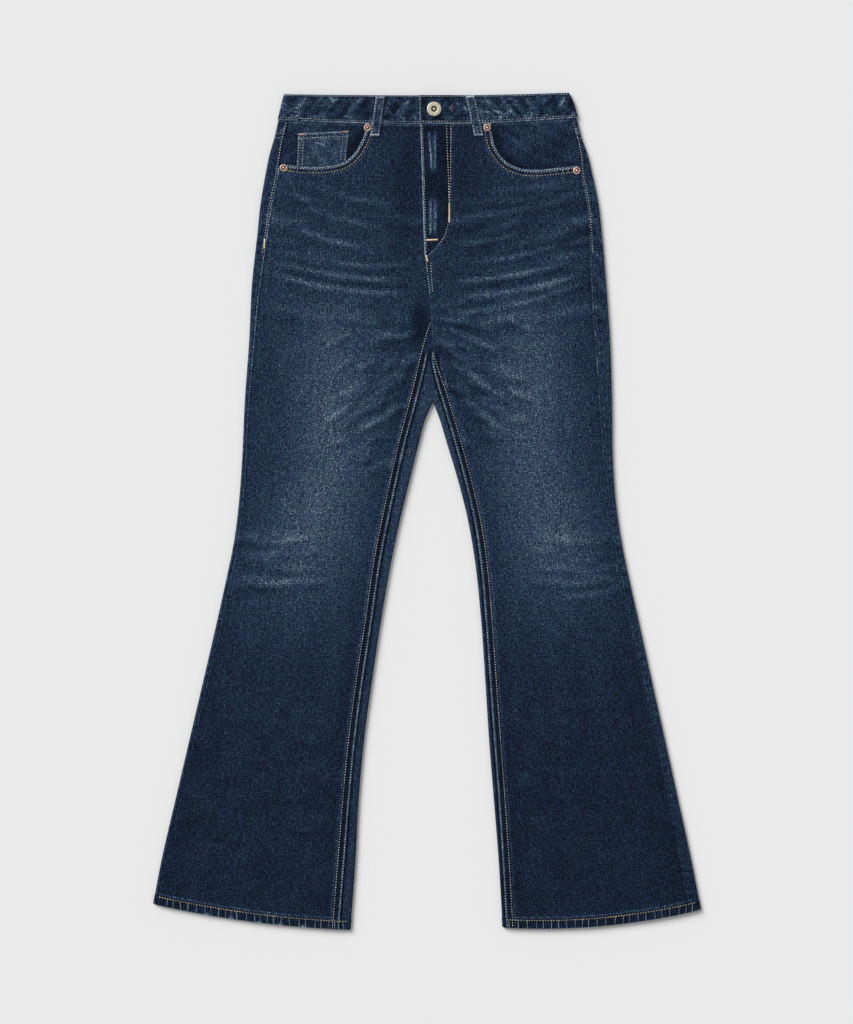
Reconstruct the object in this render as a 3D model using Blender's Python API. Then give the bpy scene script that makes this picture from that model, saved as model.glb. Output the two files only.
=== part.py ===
"""Slim bootcut jeans laid flat on their back, front up.

Metres, +Z up, +Y toward the waist, +X toward the wearer's left.
The tables give sizes in millimetres. "drop" is the distance below the waist's top edge.
"out" is the distance from the centre line toward the side seam of the wearer's own side.
"""

import math
from collections import namedtuple

import bmesh
import bpy
from mathutils import Vector

MM = 0.001

# Cloth and seams
WALL = 1.2
SEAM_GAP = 0.3
HALF_GAP = SEAM_GAP / 2
BAND_WALL = 2.4
LOOP_WALL = 1.6
COIN_WALL = 1.0

# Lengths
WAIST_TO_CENTRE = 542.5
FOLD_DROP = 400.0
CROTCH_DROP = 329.0
STRIP_DROP = 335.5
FLY_END_DROP = 213.0

# Heights of the two lying layers
EDGE_HEIGHT = 5.0
HIP_HEIGHT = 6.2
KNEE_HEIGHT = 5.9
HEM_HEIGHT = 5.6
EDGE_RISE_WIDTH = 26.0
ARC_STEPS = 4

# Felled seams, hem and fly
FELL_WIDTH = 9.0
FELL_RISE = 0.5
HEM_WIDTH = 12.4
HEM_RISE = 0.9
HEM_STEP = 0.8
FLY_LAP = 8.0
FLY_RISE = WALL + SEAM_GAP
FLY_FLAT = 21.0
FLY_RAMP = 10.0
FLY_RAMP_END = 28.0
FACING_LAP = 15.0
FACING_LIFT = 0.35
EDGE_BAND = 7.0
FELL_STEP = 1.2
FELL_TAPER = 12.0
FLY_TAPER = 20.0
OPENING_EASE = 1.15

# Waistband
BAND_EDGE_WALL = 1.5
BAND_GAP = 1.0
BAND_TOP = BAND_WALL * 2 + BAND_GAP
BAND_LAP_RISE = BAND_WALL + SEAM_GAP
BAND_LAP_END = -10.4
BAND_UNDER_END = 18.0
BAND_LAP_RAMP = 30.0
BAND_COLUMN = 13.0

Side = namedtuple("Side", "name sign hem_outer hem_inner hem_bow seam_end_drop")
RIGHT = Side("right", -1, 1053.5, 1087.0, 6.0, 33.0)
LEFT = Side("left", 1, 1061.0, 1084.0, 9.5, 30.2)
WAIST_SEAM_DROP = 38.8

# Side fold of each leg and, inset from it, the outseam
Outer = namedtuple("Outer", "drop right_edge right_inset left_edge left_inset")
OUTER = (
    Outer(-2, 185.5, 13.7, 183.5, 7.8),
    Outer(16, 190, 13.7, 191, 7.8),
    Outer(36, 194, 13.0, 196, 7.8),
    Outer(57, 199, 12.2, 201.5, 6.4),
    Outer(80, 205.5, 14.8, 209.5, 10),
    Outer(100, 209.5, 15.5, 214.2, 13),
    Outer(144, 217, 13.8, 223.4, 13.6),
    Outer(183, 221, 12, 227.7, 14.8),
    Outer(242, 227.5, 9.4, 232.8, 17.4),
    Outer(320, 231.5, 5.6, 238.2, 18),
    Outer(400, 237.3, 4.2, 240.8, 15),
    Outer(476, 240.8, 4.0, 241.9, 10.6),
    Outer(528, 244.6, 4.0, 245.5, 11),
    Outer(580, 251, 4.2, 252.7, 12),
    Outer(632, 261.5, 4.6, 263.3, 12.6),
    Outer(684, 273, 5, 275, 13),
    Outer(762, 291, 5, 292.2, 13),
    Outer(840, 309.3, 5, 309.6, 13.4),
    Outer(918, 327.5, 5, 326.8, 14.6),
    Outer(996, 345.5, 5, 343.8, 16.2),
    Outer(1062, 358.0, 5, 356.6, 17.6),
)

# Inner fold of each leg, from the crotch fold down
Inner = namedtuple("Inner", "drop right_edge left_edge")
INNER = (
    Inner(400, -7.8, 7.8),
    Inner(424, 2.6, 16.9),
    Inner(450, 9.7, 24.7),
    Inner(502, 22.6, 40.3),
    Inner(554, 35.2, 53.3),
    Inner(606, 46.2, 62.2),
    Inner(684, 59.8, 70.4),
    Inner(762, 71.5, 75.8),
    Inner(840, 82.0, 80.8),
    Inner(918, 89.0, 87.0),
    Inner(996, 93.2, 93.2),
    Inner(1088, 99.8, 98.6),
)

# Inseam of each leg, from the crotch point down
Inseam = namedtuple("Inseam", "drop right left")
INSEAM = (
    Inseam(329, -5.2, 5.4),
    Inseam(336, -2.6, 5.4),
    Inseam(348, 0.0, 5.2),
    Inseam(360, 2.7, 7.6),
    Inseam(400, 12.8, 19.0),
    Inseam(450, 26.0, 33.9),
    Inseam(502, 37.8, 48.0),
    Inseam(554, 48.8, 59.9),
    Inseam(606, 58.9, 67.8),
    Inseam(684, 70.2, 74.9),
    Inseam(762, 82.1, 80.3),
    Inseam(840, 92.2, 85.9),
    Inseam(918, 99.7, 91.7),
    Inseam(996, 106.0, 96.9),
    Inseam(1088, 113.3, 102.1),
)

# Centre seams, toward the wearer's left from the centre line
Centre = namedtuple("Centre", "drop front back")
CENTRE = (
    Centre(30, -9.2, 0),
    Centre(72, -7.8, 0.7),
    Centre(112, -6.5, 1.4),
    Centre(157, -5.2, 2.3),
    Centre(203, -3.5, 3.2),
    Centre(229, -1.3, 3.9),
    Centre(255, 1.7, 4.4),
    Centre(277, 4.2, 4.7),
    Centre(329, 5.3, 5.3),
    Centre(346, 3.2, 3.2),
    Centre(372, 3.8, 3.8),
    Centre(400, 7.8, 7.8),
)

# Pocket openings, from the waistband to the outseam
Opening = namedtuple("Opening", "right_out right_drop left_out left_drop")
OPENING = (
    Opening(79.5, 37.6, 83.0, 37.1),
    Opening(80.5, 48.0, 84.2, 48.5),
    Opening(85.0, 61.0, 87.4, 65.5),
    Opening(93.0, 75.0, 94.5, 78.5),
    Opening(104.0, 86.0, 104.5, 89.0),
    Opening(117.0, 91.6, 117.5, 95.4),
    Opening(138.0, 94.4, 133.0, 98.4),
    Opening(165.0, 94.0, 156.0, 97.6),
    Opening(187.5, 91.0, 196.0, 92.8),
)
OpeningAt = namedtuple("OpeningAt", ("at",) + Opening._fields)
OPENING_ROWS = 10
FACING_ROWS = 8
FACING_COLUMNS = 10

# Rows of the panels: the drop at the outer and inner end, and the rows from here to the next line
Row = namedtuple("Row", "outer inner front_rows back_rows")
ROWS = (
    Row(91, 123, 8, 8),
    Row(205, 214, 8, 4),
    Row(290, 290, 4, 2),
    Row(CROTCH_DROP, CROTCH_DROP, 1, 1),
    Row(STRIP_DROP, STRIP_DROP, 4, 4),
    Row(FOLD_DROP - 1.5, FOLD_DROP - 1.5, 1, 1),
    Row(FOLD_DROP, FOLD_DROP, 5, 5),
    Row(480, 480, 10, 5),
    Row(640, 640, 8, 8),
)
HEM_ROWS = (HEM_WIDTH + HEM_STEP, HEM_WIDTH, HEM_STEP, 0.0)
YOKE_OUTER_DROP = 58.0
YOKE_INNER_DROP = 101.0
YOKE_ROWS = 3
BACK_TOP_ROWS = 2
FRONT_COLUMNS = 8
BACK_COLUMNS = 6
BAND_ROWS = 4

# Creases pressed or worn into the fronts, as soft ridges
Crease = namedtuple("Crease", "side out1 drop1 out2 drop2 sag width rise")
CREASES = (
    Crease("left", 62, 126, 172, 114, 3, 5.5, 0.35),
    Crease("left", 56, 158, 147, 143, 3, 5.0, 0.40),
    Crease("left", 38, 196, 127, 177, 3, 4.5, 0.55),
    Crease("left", 54, 219, 182, 191, 5, 5.0, 0.65),
    Crease("left", 34, 243, 200, 214, 6, 4.5, 0.75),
    Crease("left", 31, 264, 208, 231, 7, 5.0, 0.70),
    Crease("left", 18, 285, 213, 241, 10, 5.0, 0.75),
    Crease("left", 14, 301, 95, 338, -4, 6.0, 0.50),
    Crease("left", 24, 345, 92, 394, -4, 6.0, 0.60),
    Crease("left", 40, 392, 98, 440, -4, 7.0, 0.45),
    Crease("left", 258, 640, 172, 652, 4, 7.0, 0.50),
    Crease("left", 251, 612, 186, 621, 3, 6.0, 0.40),
    Crease("right", 35, 146, 126, 124, 4, 5.5, 0.35),
    Crease("right", 60, 172, 166, 143, 4, 5.0, 0.45),
    Crease("right", 70, 199, 174, 170, 6, 5.0, 0.65),
    Crease("right", 14, 220, 134, 216, 5, 4.5, 0.60),
    Crease("right", 30, 241, 205, 214, 8, 5.0, 0.75),
    Crease("right", 10, 259, 212, 230, 9, 5.0, 0.75),
    Crease("right", 18, 314, 100, 303, 3, 6.0, 0.40),
    Crease("right", 22, 356, 68, 390, 3, 5.5, 0.55),
    Crease("right", 30, 401, 92, 438, 3, 6.0, 0.60),
    Crease("right", 46, 470, 88, 492, 2, 6.5, 0.40),
    Crease("right", 180, 106, 148, 150, -3, 5.5, 0.55),
    Crease("right", 248, 634, 162, 629, 4, 7.0, 0.50),
    Crease("right", 244, 598, 184, 594, 3, 6.0, 0.40),
)

# Puckers across the waistband's front
Pucker = namedtuple("Pucker", "x lean width rise")
PUCKERS = (
    Pucker(-168, 9, 5, 0.30),
    Pucker(-141, -6, 4, 0.25),
    Pucker(-112, 10, 5, 0.35),
    Pucker(-84, 7, 4, 0.25),
    Pucker(-34, -8, 5, 0.30),
    Pucker(82, -9, 5, 0.35),
    Pucker(108, 6, 4, 0.25),
    Pucker(134, -10, 5, 0.35),
    Pucker(163, -7, 5, 0.30),
)

# Belt loops, coin pocket and metal
Loop = namedtuple("Loop", "name x_top drop_top x_foot drop_foot")
LOOPS = (
    Loop("right_front_belt_loop", -60.5, 2.6, -68.0, 55.0),
    Loop("left_front_belt_loop", 55.8, 1.4, 67.4, 54.6),
)
LOOP_WIDTH = 11.6
LOOP_BOW = 0.9
LOOP_TURN = 7.0
LOOP_THINNING = 0.6
LOOP_SPREAD = 1.5

Corner = namedtuple("Corner", "out drop")
COIN_TOP_OUTER = Corner(167.8, 50.6)
COIN_TOP_INNER = Corner(101.4, 47.6)
COIN_FOOT_OUTER = Corner(169.4, 93.0)
COIN_FOOT_INNER = Corner(105.4, 86.4)
COIN_GAP = 0.8
COIN_COLUMNS = 8
COIN_ROWS = 5

Stud = namedtuple("Stud", "name x drop")
RIVETS = (
    Stud("right_inner_rivet", -77.3, 43.7),
    Stud("right_outer_rivet", -186.6, 96.0),
    Stud("left_inner_rivet", 78.0, 43.6),
    Stud("left_outer_rivet", 194.6, 99.6),
)
BUTTON = Stud("waist_button", 9.3, 20.0)

Ring = namedtuple("Ring", "radius height")
RIVET_PROFILE = (
    Ring(4.55, 0.0),
    Ring(4.75, 0.5),
    Ring(4.45, 1.1),
    Ring(3.7, 1.4),
    Ring(2.9, 1.1),
    Ring(2.0, 1.1),
    Ring(1.5, 1.6),
    Ring(0.8, 1.9),
)
RIVET_CENTRE = 2.0
RIVET_SIDES = 16
BUTTON_PROFILE = (
    Ring(6.0, 0.0),
    Ring(6.4, 0.7),
    Ring(8.6, 1.0),
    Ring(9.3, 1.5),
    Ring(9.4, 2.1),
    Ring(8.9, 2.7),
    Ring(7.8, 2.95),
    Ring(4.6, 2.95),
    Ring(3.9, 2.6),
    Ring(3.3, 1.8),
    Ring(2.2, 1.8),
    Ring(1.6, 2.3),
)
BUTTON_CENTRE = 2.5
BUTTON_SIDES = 24


def smooth(value):
    value = min(max(value, 0.0), 1.0)
    return value * value * (3 - 2 * value)


def lerp(a, b, t):
    return a + (b - a) * t


def curve(table, key, field, at):
    """Smooth value of one column of a table at a place along its key column."""
    keys = [getattr(row, key) for row in table]
    values = [getattr(row, field) for row in table]
    last = len(keys) - 1
    if at <= keys[0]:
        return values[0]
    if at >= keys[last]:
        return values[last]
    index = max(i for i in range(last) if keys[i] <= at)
    span = keys[index + 1] - keys[index]
    chord = (values[index + 1] - values[index]) / span

    def slope(i):
        if i == 0 or i == last:
            return chord
        before = (values[i] - values[i - 1]) / (keys[i] - keys[i - 1])
        after = (values[i + 1] - values[i]) / (keys[i + 1] - keys[i])
        weight = (keys[i] - keys[i - 1]) / (keys[i + 1] - keys[i - 1])
        return lerp(before, after, weight)

    t = (at - keys[index]) / span
    start = slope(index) * span
    end = slope(index + 1) * span
    rise = values[index + 1] - values[index]
    return values[index] + t * (start + t * (3 * rise - 2 * start - end + t * (start + end - 2 * rise)))


def outer_edge(side, drop):
    return curve(OUTER, "drop", side.name + "_edge", drop)


def outseam(side, drop):
    return outer_edge(side, drop) - curve(OUTER, "drop", side.name + "_inset", drop)


def inner_edge(side, drop):
    return curve(INNER, "drop", side.name + "_edge", drop)


def inseam(side, drop):
    return curve(INSEAM, "drop", side.name, drop)


def centre_front(side, drop):
    return side.sign * curve(CENTRE, "drop", "front", drop)


def centre_back(side, drop):
    return side.sign * curve(CENTRE, "drop", "back", drop)


def crease_rise(side, out, drop):
    """Height that the creases add at a place on a front."""
    total = 0.0
    for crease in CREASES:
        if crease.side != side.name:
            continue
        run = crease.out2 - crease.out1
        fall = crease.drop2 - crease.drop1
        length = math.hypot(run, fall)
        along = ((out - crease.out1) * run + (drop - crease.drop1) * fall) / length ** 2
        if along <= 0 or along >= 1:
            continue
        across = ((out - crease.out1) * fall - (drop - crease.drop1) * run) / length
        bow = crease.sag * 4 * along * (1 - along)
        if run > 0:
            across = -across
        away = (across - bow) / crease.width
        total += crease.rise * math.exp(-away * away) * smooth(4 * along) * smooth(4 * (1 - along))
    return total


def flat_height(side, out, drop):
    """Outer height of the upper layer before creases, laps and seams."""
    middle = curve(HEIGHTS, "drop", "height", drop)
    to_edge = outer_edge(side, drop) - out
    if drop > FOLD_DROP:
        to_inner = out - inner_edge(side, drop)
    else:
        to_inner = math.hypot(out - inner_edge(side, FOLD_DROP), FOLD_DROP - drop)
    near = smooth(min(to_edge, to_inner) / EDGE_RISE_WIDTH)
    return lerp(EDGE_HEIGHT, middle, near)


Height = namedtuple("Height", "drop height")
HEIGHTS = (
    Height(0, HIP_HEIGHT),
    Height(300, HIP_HEIGHT),
    Height(560, KNEE_HEIGHT),
    Height(1088, HEM_HEIGHT),
)


def front_height(side, out, drop):
    """Outer height of a front panel without its felled seam and hem."""
    height = flat_height(side, out, drop) + crease_rise(side, out, drop)
    if side is LEFT:
        across = (FLY_FLAT + FLY_RAMP - out) / FLY_RAMP
        ending = 1 - (drop - FLY_END_DROP) / FLY_RAMP_END
        height += FLY_RISE * smooth(across) * smooth(ending)
    return height


def row_out_drop(side, row, t):
    """Drop at a share of a row from its outer end to its inner end."""
    outer, inner, bow = row
    return lerp(outer, inner, t) + 4 * bow * t * (1 - t)


def row_inner_out(side, row):
    drop = row[1]
    if drop >= FOLD_DROP:
        return inner_edge(side, drop)
    return centre_back(side, drop)


def row_drop(side, row, out):
    """Drop of a row of the panel at a distance out."""
    start = outer_edge(side, row[0])
    end = row_inner_out(side, row)
    return row_out_drop(side, row, (start - out) / (start - end))


def on_row(side, row, border):
    """Distance out where a row meets a border given as a function of the drop."""
    out = border(row[0])
    for _ in range(6):
        out = border(row_drop(side, row, out))
    return out


def panel_rows(side, kind):
    """Rows from the foot of the pocket opening to the hem."""
    rows = []
    first = (side.hem_outer - HEM_ROWS[0], side.hem_inner - HEM_ROWS[0], side.hem_bow)
    ends = [(row.outer, row.inner, 0.0) for row in ROWS] + [first]
    for index, row in enumerate(ROWS):
        count = getattr(row, kind)
        for step in range(count):
            t = step / count
            rows.append(tuple(lerp(a, b, t) for a, b in zip(ends[index], ends[index + 1])))
    for up in HEM_ROWS:
        rows.append((side.hem_outer - up, side.hem_inner - up, side.hem_bow))
    return rows


def waist_row(side, below):
    """Row along the waistband's lower seam."""
    bow = (WAIST_SEAM_DROP - side.seam_end_drop) / 4
    return (side.seam_end_drop + below, WAIST_SEAM_DROP + below, bow)


def hem_share(side, row):
    """One inside the turned hem, zero above it."""
    up = side.hem_outer - row[0]
    return 1.0 if up <= HEM_WIDTH + 0.01 else 0.0


def place(side, out, drop, height):
    return Vector((side.sign * out, WAIST_TO_CENTRE - drop, height)) * MM


def build_solid(name, points, faces, material):
    mesh = bpy.data.meshes.new(name)
    mesh.from_pydata([tuple(point) for point in points], [], faces)
    body = bmesh.new()
    body.from_mesh(mesh)
    bmesh.ops.recalc_face_normals(body, faces=body.faces)
    if body.calc_volume(signed=True) < 0:
        bmesh.ops.reverse_faces(body, faces=body.faces)
    body.to_mesh(mesh)
    body.free()
    for polygon in mesh.polygons:
        polygon.use_smooth = True
    mesh.set_sharp_from_angle(angle=math.radians(38))
    mesh.materials.append(material)
    solid = bpy.data.objects.new(name, mesh)
    COLLECTION.objects.link(solid)
    return solid


def shell(name, outer, inner, material, left_out=()):
    """Closed wall between two grids of points, without the cells left out."""
    rows = len(outer)
    columns = len(outer[0])
    cells = [
        (r, c)
        for r in range(rows - 1)
        for c in range(columns - 1)
        if (r, c) not in left_out
    ]
    used = sorted({(r + a, c + b) for r, c in cells for a in (0, 1) for b in (0, 1)})
    number = {key: index for index, key in enumerate(used)}
    count = len(used)
    points = [outer[r][c] for r, c in used] + [inner[r][c] for r, c in used]
    faces = []
    borders = {}
    for r, c in cells:
        loop = (number[r, c], number[r, c + 1], number[r + 1, c + 1], number[r + 1, c])
        faces.append(loop)
        faces.append(tuple(index + count for index in reversed(loop)))
        for a, b in zip(loop, loop[1:] + loop[:1]):
            if (b, a) in borders:
                del borders[b, a]
            else:
                borders[a, b] = True
    for a, b in borders:
        faces.append((b, a, a + count, b + count))
    return build_solid(name, points, faces, material)


def lathe(name, profile, centre_height, sides, middle, material):
    """Turned piece with a flat foot and a domed middle."""
    points = []
    for ring in profile:
        for step in range(sides):
            turn = 2 * math.pi * step / sides
            reach = Vector((ring.radius * math.cos(turn), ring.radius * math.sin(turn), ring.height))
            points.append(middle + reach * MM)
    foot = len(points)
    points.append(middle.copy())
    points.append(middle + Vector((0, 0, centre_height)) * MM)
    faces = []
    last = (len(profile) - 1) * sides
    for step in range(sides):
        after = (step + 1) % sides
        faces.append((foot, after, step))
        faces.append((foot + 1, last + step, last + after))
        for ring in range(len(profile) - 1):
            low = ring * sides
            faces.append((low + step, low + after, low + sides + after, low + sides + step))
    return build_solid(name, points, faces, material)


def new_material(name, colour, roughness, metallic=0.0):
    material = bpy.data.materials.new(name)
    material.use_nodes = True
    surface = material.node_tree.nodes["Principled BSDF"]
    channels = [int(colour[i:i + 2], 16) / 255 for i in (0, 2, 4)]
    linear = [c / 12.92 if c <= 0.04045 else ((c + 0.055) / 1.055) ** 2.4 for c in channels]
    surface.inputs["Base Color"].default_value = (*linear, 1.0)
    surface.inputs["Roughness"].default_value = roughness
    surface.inputs["Metallic"].default_value = metallic
    material.diffuse_color = (*linear, 1.0)
    return material


def opening_point(side, t):
    """Place on the pocket opening, from the waistband (0) to the outseam (1)."""
    at = t * (len(OPENING) - 1)
    table = [OpeningAt(i, *row) for i, row in enumerate(OPENING)]
    out = curve(table, "at", side.name + "_out", at)
    drop = curve(table, "at", side.name + "_drop", at)
    return out, drop


def front_inner_border(side, drop):
    """Inner edge of a front: the fly, the centre seam, then the inseam."""
    if drop > CROTCH_DROP:
        return inseam(side, drop) + HALF_GAP
    border = centre_front(side, drop)
    if side is LEFT:
        return border + HALF_GAP
    lap = FLY_LAP + border
    share = smooth((FLY_END_DROP - drop) / FLY_TAPER)
    return border + HALF_GAP - lap * share


def front_fell(side, drop):
    start = FLY_END_DROP + 8 if side is LEFT else CROTCH_DROP
    return FELL_RISE * smooth((drop - start) / FELL_TAPER)


def front_panel(side, material):
    """Front from the waistband and pocket opening to the hem."""
    lines = []
    foot_row = panel_rows(side, "front_rows")[0]
    for step in range(OPENING_ROWS):
        t = step / OPENING_ROWS
        out, drop = opening_point(side, t)
        inner_drop = lerp(WAIST_SEAM_DROP + SEAM_GAP, foot_row[1], t ** OPENING_EASE)
        row = None if step else waist_row(side, SEAM_GAP)
        lines.append(((out, drop), (front_inner_border(side, inner_drop), inner_drop), row))
    for row in panel_rows(side, "front_rows"):
        out = on_row(side, row, lambda drop: outseam(side, drop)) - HALF_GAP
        inner = on_row(side, row, lambda drop: front_inner_border(side, drop))
        lines.append(((out, row_drop(side, row, out)), (inner, row_drop(side, row, inner)), row))
    outer_grid = []
    inner_grid = []
    for (out_a, drop_a), (out_b, drop_b), row in lines:
        width = out_a - out_b
        last = width - FELL_WIDTH - FELL_STEP
        insets = [0.0, EDGE_BAND]
        insets += [lerp(EDGE_BAND, last, i / FRONT_COLUMNS) for i in range(1, FRONT_COLUMNS + 1)]
        insets += [width - FELL_WIDTH, width - 1.0, width]
        tops = []
        bottoms = []
        for inset in insets:
            out = out_a - inset
            if row:
                drop = row_drop(side, row, out)
            else:
                drop = lerp(drop_a, drop_b, inset / width)
            base = front_height(side, out, drop)
            hem = hem_share(side, row) if row else 0.0
            felled = 1.0 if width - FELL_WIDTH - 0.1 <= inset else 0.0
            top = base + front_fell(side, drop) * felled + HEM_RISE * hem
            tops.append(place(side, out, drop, top))
            bottoms.append(place(side, out, drop, base - WALL))
        outer_grid.append(tops)
        inner_grid.append(bottoms)
    return shell(side.name + "_front_panel", outer_grid, inner_grid, material)


def wrap_section(side, row, seam_out, upper_seam, has_inner_fold, bottom_columns, seat_out):
    """Points round one row of a back: upper strip, side fold, underside, inner fold, upper strip."""
    outer_points = []
    inner_points = []
    hem = hem_share(side, row)
    edge = outer_edge(side, row[0])
    radius = EDGE_HEIGHT / 2

    def add(out, outer_height, inner_height, drop=None, inner_out=None):
        at = row_drop(side, row, out) if drop is None else drop
        outer_points.append(place(side, out, at, outer_height))
        inner_points.append(place(side, out if inner_out is None else inner_out, at, inner_height))

    def arc(centre, direction, start, end, drop, steps):
        for step in range(steps + 1):
            angle = math.radians(lerp(start, end, step / steps))
            shift = direction * math.cos(angle)
            lift = math.sin(angle)
            out = centre + shift * (radius + HEM_RISE * hem * 0.4)
            inner_out = centre + shift * (radius - WALL)
            rise = HEM_RISE * hem if lift > 0.99 else 0.0
            bottom = HEM_RISE * hem if lift < -0.99 else 0.0
            add(out, radius + lift * radius + rise, radius + lift * (radius - WALL) + bottom, drop, inner_out)

    start_out = seam_out + HALF_GAP
    arc_centre = edge - radius
    middle = (start_out + arc_centre) / 2
    for out in (start_out, middle):
        drop = row_drop(side, row, out)
        base = flat_height(side, out, drop)
        add(out, base + HEM_RISE * hem, base - WALL)
    arc(arc_centre, 1, 90, -90, row_drop(side, row, edge), ARC_STEPS)
    if has_inner_fold:
        fold = inner_edge(side, row[1])
        last = fold + radius
    else:
        last = seat_out + HALF_GAP
    bottom_wall = WALL + HEM_RISE * hem
    for step in range(1, bottom_columns):
        add(lerp(arc_centre, last, step / bottom_columns), 0.0, bottom_wall)
    if has_inner_fold:
        arc(last, -1, -90, 90, row_drop(side, row, fold), ARC_STEPS)
    else:
        for step in range(ARC_STEPS + 1):
            add(last, 0.0, bottom_wall)
    if upper_seam is not None:
        end = upper_seam - HALF_GAP
        begin = last if has_inner_fold else seat_out + HALF_GAP
        if not has_inner_fold:
            drop = row_drop(side, row, begin)
            base = flat_height(side, begin, drop)
            outer_points[-1] = place(side, begin, drop, base)
            inner_points[-1] = place(side, begin, drop, base - WALL)
        for out in (lerp(begin, end, 0.5), end):
            drop = row_drop(side, row, out)
            base = flat_height(side, out, drop)
            add(out, base + HEM_RISE * hem, base - WALL)
    else:
        for _ in range(2):
            add(last, 0.0, bottom_wall)
    return outer_points, inner_points


def back_panel(side, material):
    """Back from the yoke seam to the hem, wrapping both folds of its leg."""
    rows = []
    below_yoke = (YOKE_OUTER_DROP + HALF_GAP, YOKE_INNER_DROP + HALF_GAP, 0.0)
    foot_row = panel_rows(side, "back_rows")[0]
    for step in range(BACK_TOP_ROWS):
        rows.append(tuple(lerp(a, b, step / BACK_TOP_ROWS) for a, b in zip(below_yoke, foot_row)))
    rows += panel_rows(side, "back_rows")
    outer_grid = []
    inner_grid = []
    for row in rows:
        folded = row[1] >= FOLD_DROP
        has_strip = row[1] >= STRIP_DROP
        seam = on_row(side, row, lambda drop: outseam(side, drop))
        upper = on_row(side, row, lambda drop: inseam(side, drop)) if has_strip else None
        seat = on_row(side, row, lambda drop: centre_back(side, drop))
        tops, bottoms = wrap_section(side, row, seam, upper, folded, BACK_COLUMNS, seat)
        outer_grid.append(tops)
        inner_grid.append(bottoms)
    fold_start = 2 + ARC_STEPS + BACK_COLUMNS
    fold_columns = range(fold_start, fold_start + ARC_STEPS)
    strip_columns = range(fold_start + ARC_STEPS, fold_start + ARC_STEPS + 2)
    left_out = set()
    for index, row in enumerate(rows[:-1]):
        if row[1] < FOLD_DROP:
            left_out |= {(index, column) for column in fold_columns}
        if row[1] < STRIP_DROP:
            left_out |= {(index, column) for column in strip_columns}
    return shell(side.name + "_back_panel", outer_grid, inner_grid, material, left_out)


def yoke(side, material):
    """Back yoke, wrapping the side fold above the back panel."""
    top = waist_row(side, SEAM_GAP)
    foot = (YOKE_OUTER_DROP - HALF_GAP, YOKE_INNER_DROP - HALF_GAP, 0.0)
    outer_grid = []
    inner_grid = []
    for step in range(YOKE_ROWS + 1):
        row = tuple(lerp(a, b, step / YOKE_ROWS) for a, b in zip(top, foot))
        seam = on_row(side, row, lambda drop: outseam(side, drop))
        seat = on_row(side, row, lambda drop: centre_back(side, drop))
        tops, bottoms = wrap_section(side, row, seam, None, False, BACK_COLUMNS, seat)
        keep = 2 + ARC_STEPS + BACK_COLUMNS + 1
        outer_grid.append(tops[:keep])
        inner_grid.append(bottoms[:keep])
    return shell(side.name + "_yoke", outer_grid, inner_grid, material)


def facing_height(side, out, drop):
    return front_height(side, out, drop) - WALL - SEAM_GAP


def pocket_facing(side, material):
    """Cloth seen inside the pocket opening, reaching under the front's edge."""
    outer_grid = []
    inner_grid = []
    waist_line = waist_row(side, SEAM_GAP)
    waist_start = outseam(side, side.seam_end_drop) - HALF_GAP
    waist_end = opening_point(side, 0.0)[0] - FACING_LAP
    for step in range(FACING_ROWS + 1):
        t = step / FACING_ROWS
        tops = []
        bottoms = []
        for column in range(FACING_COLUMNS + 1):
            s = column / FACING_COLUMNS
            waist_out = lerp(waist_start, waist_end, s)
            waist_drop = row_drop(side, waist_line, waist_out)
            edge_out, edge_drop = opening_point(side, 1 - s)
            foot_out = edge_out - FACING_LAP * s
            foot_drop = edge_drop + FACING_LAP * (1 - FACING_LIFT * s)
            out = lerp(waist_out, foot_out, t)
            drop = lerp(waist_drop, foot_drop, t)
            if column == 0:
                out = outseam(side, drop) - HALF_GAP
            height = facing_height(side, out, drop)
            tops.append(place(side, out, drop, height))
            bottoms.append(place(side, out, drop, height - WALL))
        outer_grid.append(tops)
        inner_grid.append(bottoms)
    return shell(side.name + "_pocket_facing", outer_grid, inner_grid, material)


def coin_pocket(material):
    """Small patch pocket on the right facing, its foot at the opening edge."""
    side = RIGHT
    outer_grid = []
    inner_grid = []
    for r in range(COIN_ROWS + 1):
        tops = []
        bottoms = []
        t = r / COIN_ROWS
        for c in range(COIN_COLUMNS + 1):
            s = c / COIN_COLUMNS
            top_out = lerp(COIN_TOP_OUTER.out, COIN_TOP_INNER.out, s)
            top_drop = lerp(COIN_TOP_OUTER.drop, COIN_TOP_INNER.drop, s)
            foot_out = lerp(COIN_FOOT_OUTER.out, COIN_FOOT_INNER.out, s)
            foot_drop = opening_drop(side, foot_out) - COIN_GAP
            out = lerp(top_out, foot_out, t)
            drop = lerp(top_drop, foot_drop, t)
            height = facing_height(side, out, drop) + SEAM_GAP
            tops.append(place(side, out, drop, height + COIN_WALL))
            bottoms.append(place(side, out, drop, height))
        outer_grid.append(tops)
        inner_grid.append(bottoms)
    return shell("coin_pocket", outer_grid, inner_grid, material)


def opening_drop(side, out):
    """Drop of the pocket opening at a distance out."""
    low, high = 0.0, 1.0
    for _ in range(30):
        middle = (low + high) / 2
        if opening_point(side, middle)[0] < out:
            low = middle
        else:
            high = middle
    return opening_point(side, low)[1]


def side_of(x):
    return LEFT if x > 0 else RIGHT


def band_top_drop(x):
    if x < 0:
        return lerp(1.5, 0.0, (x / 186.0) ** 2)
    return lerp(1.5, -2.0, (x / 184.0) ** 2)


def band_foot_drop(x):
    side = side_of(x)
    share = min(abs(x) / outer_edge(side, side.seam_end_drop), 1.0)
    return lerp(WAIST_SEAM_DROP, side.seam_end_drop, share ** 2)


def band_lift(x):
    """Rise of the band's upper layer where it laps over its other end."""
    return BAND_LAP_RISE * (1 - smooth((x - BAND_UNDER_END - 3) / BAND_LAP_RAMP))


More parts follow.
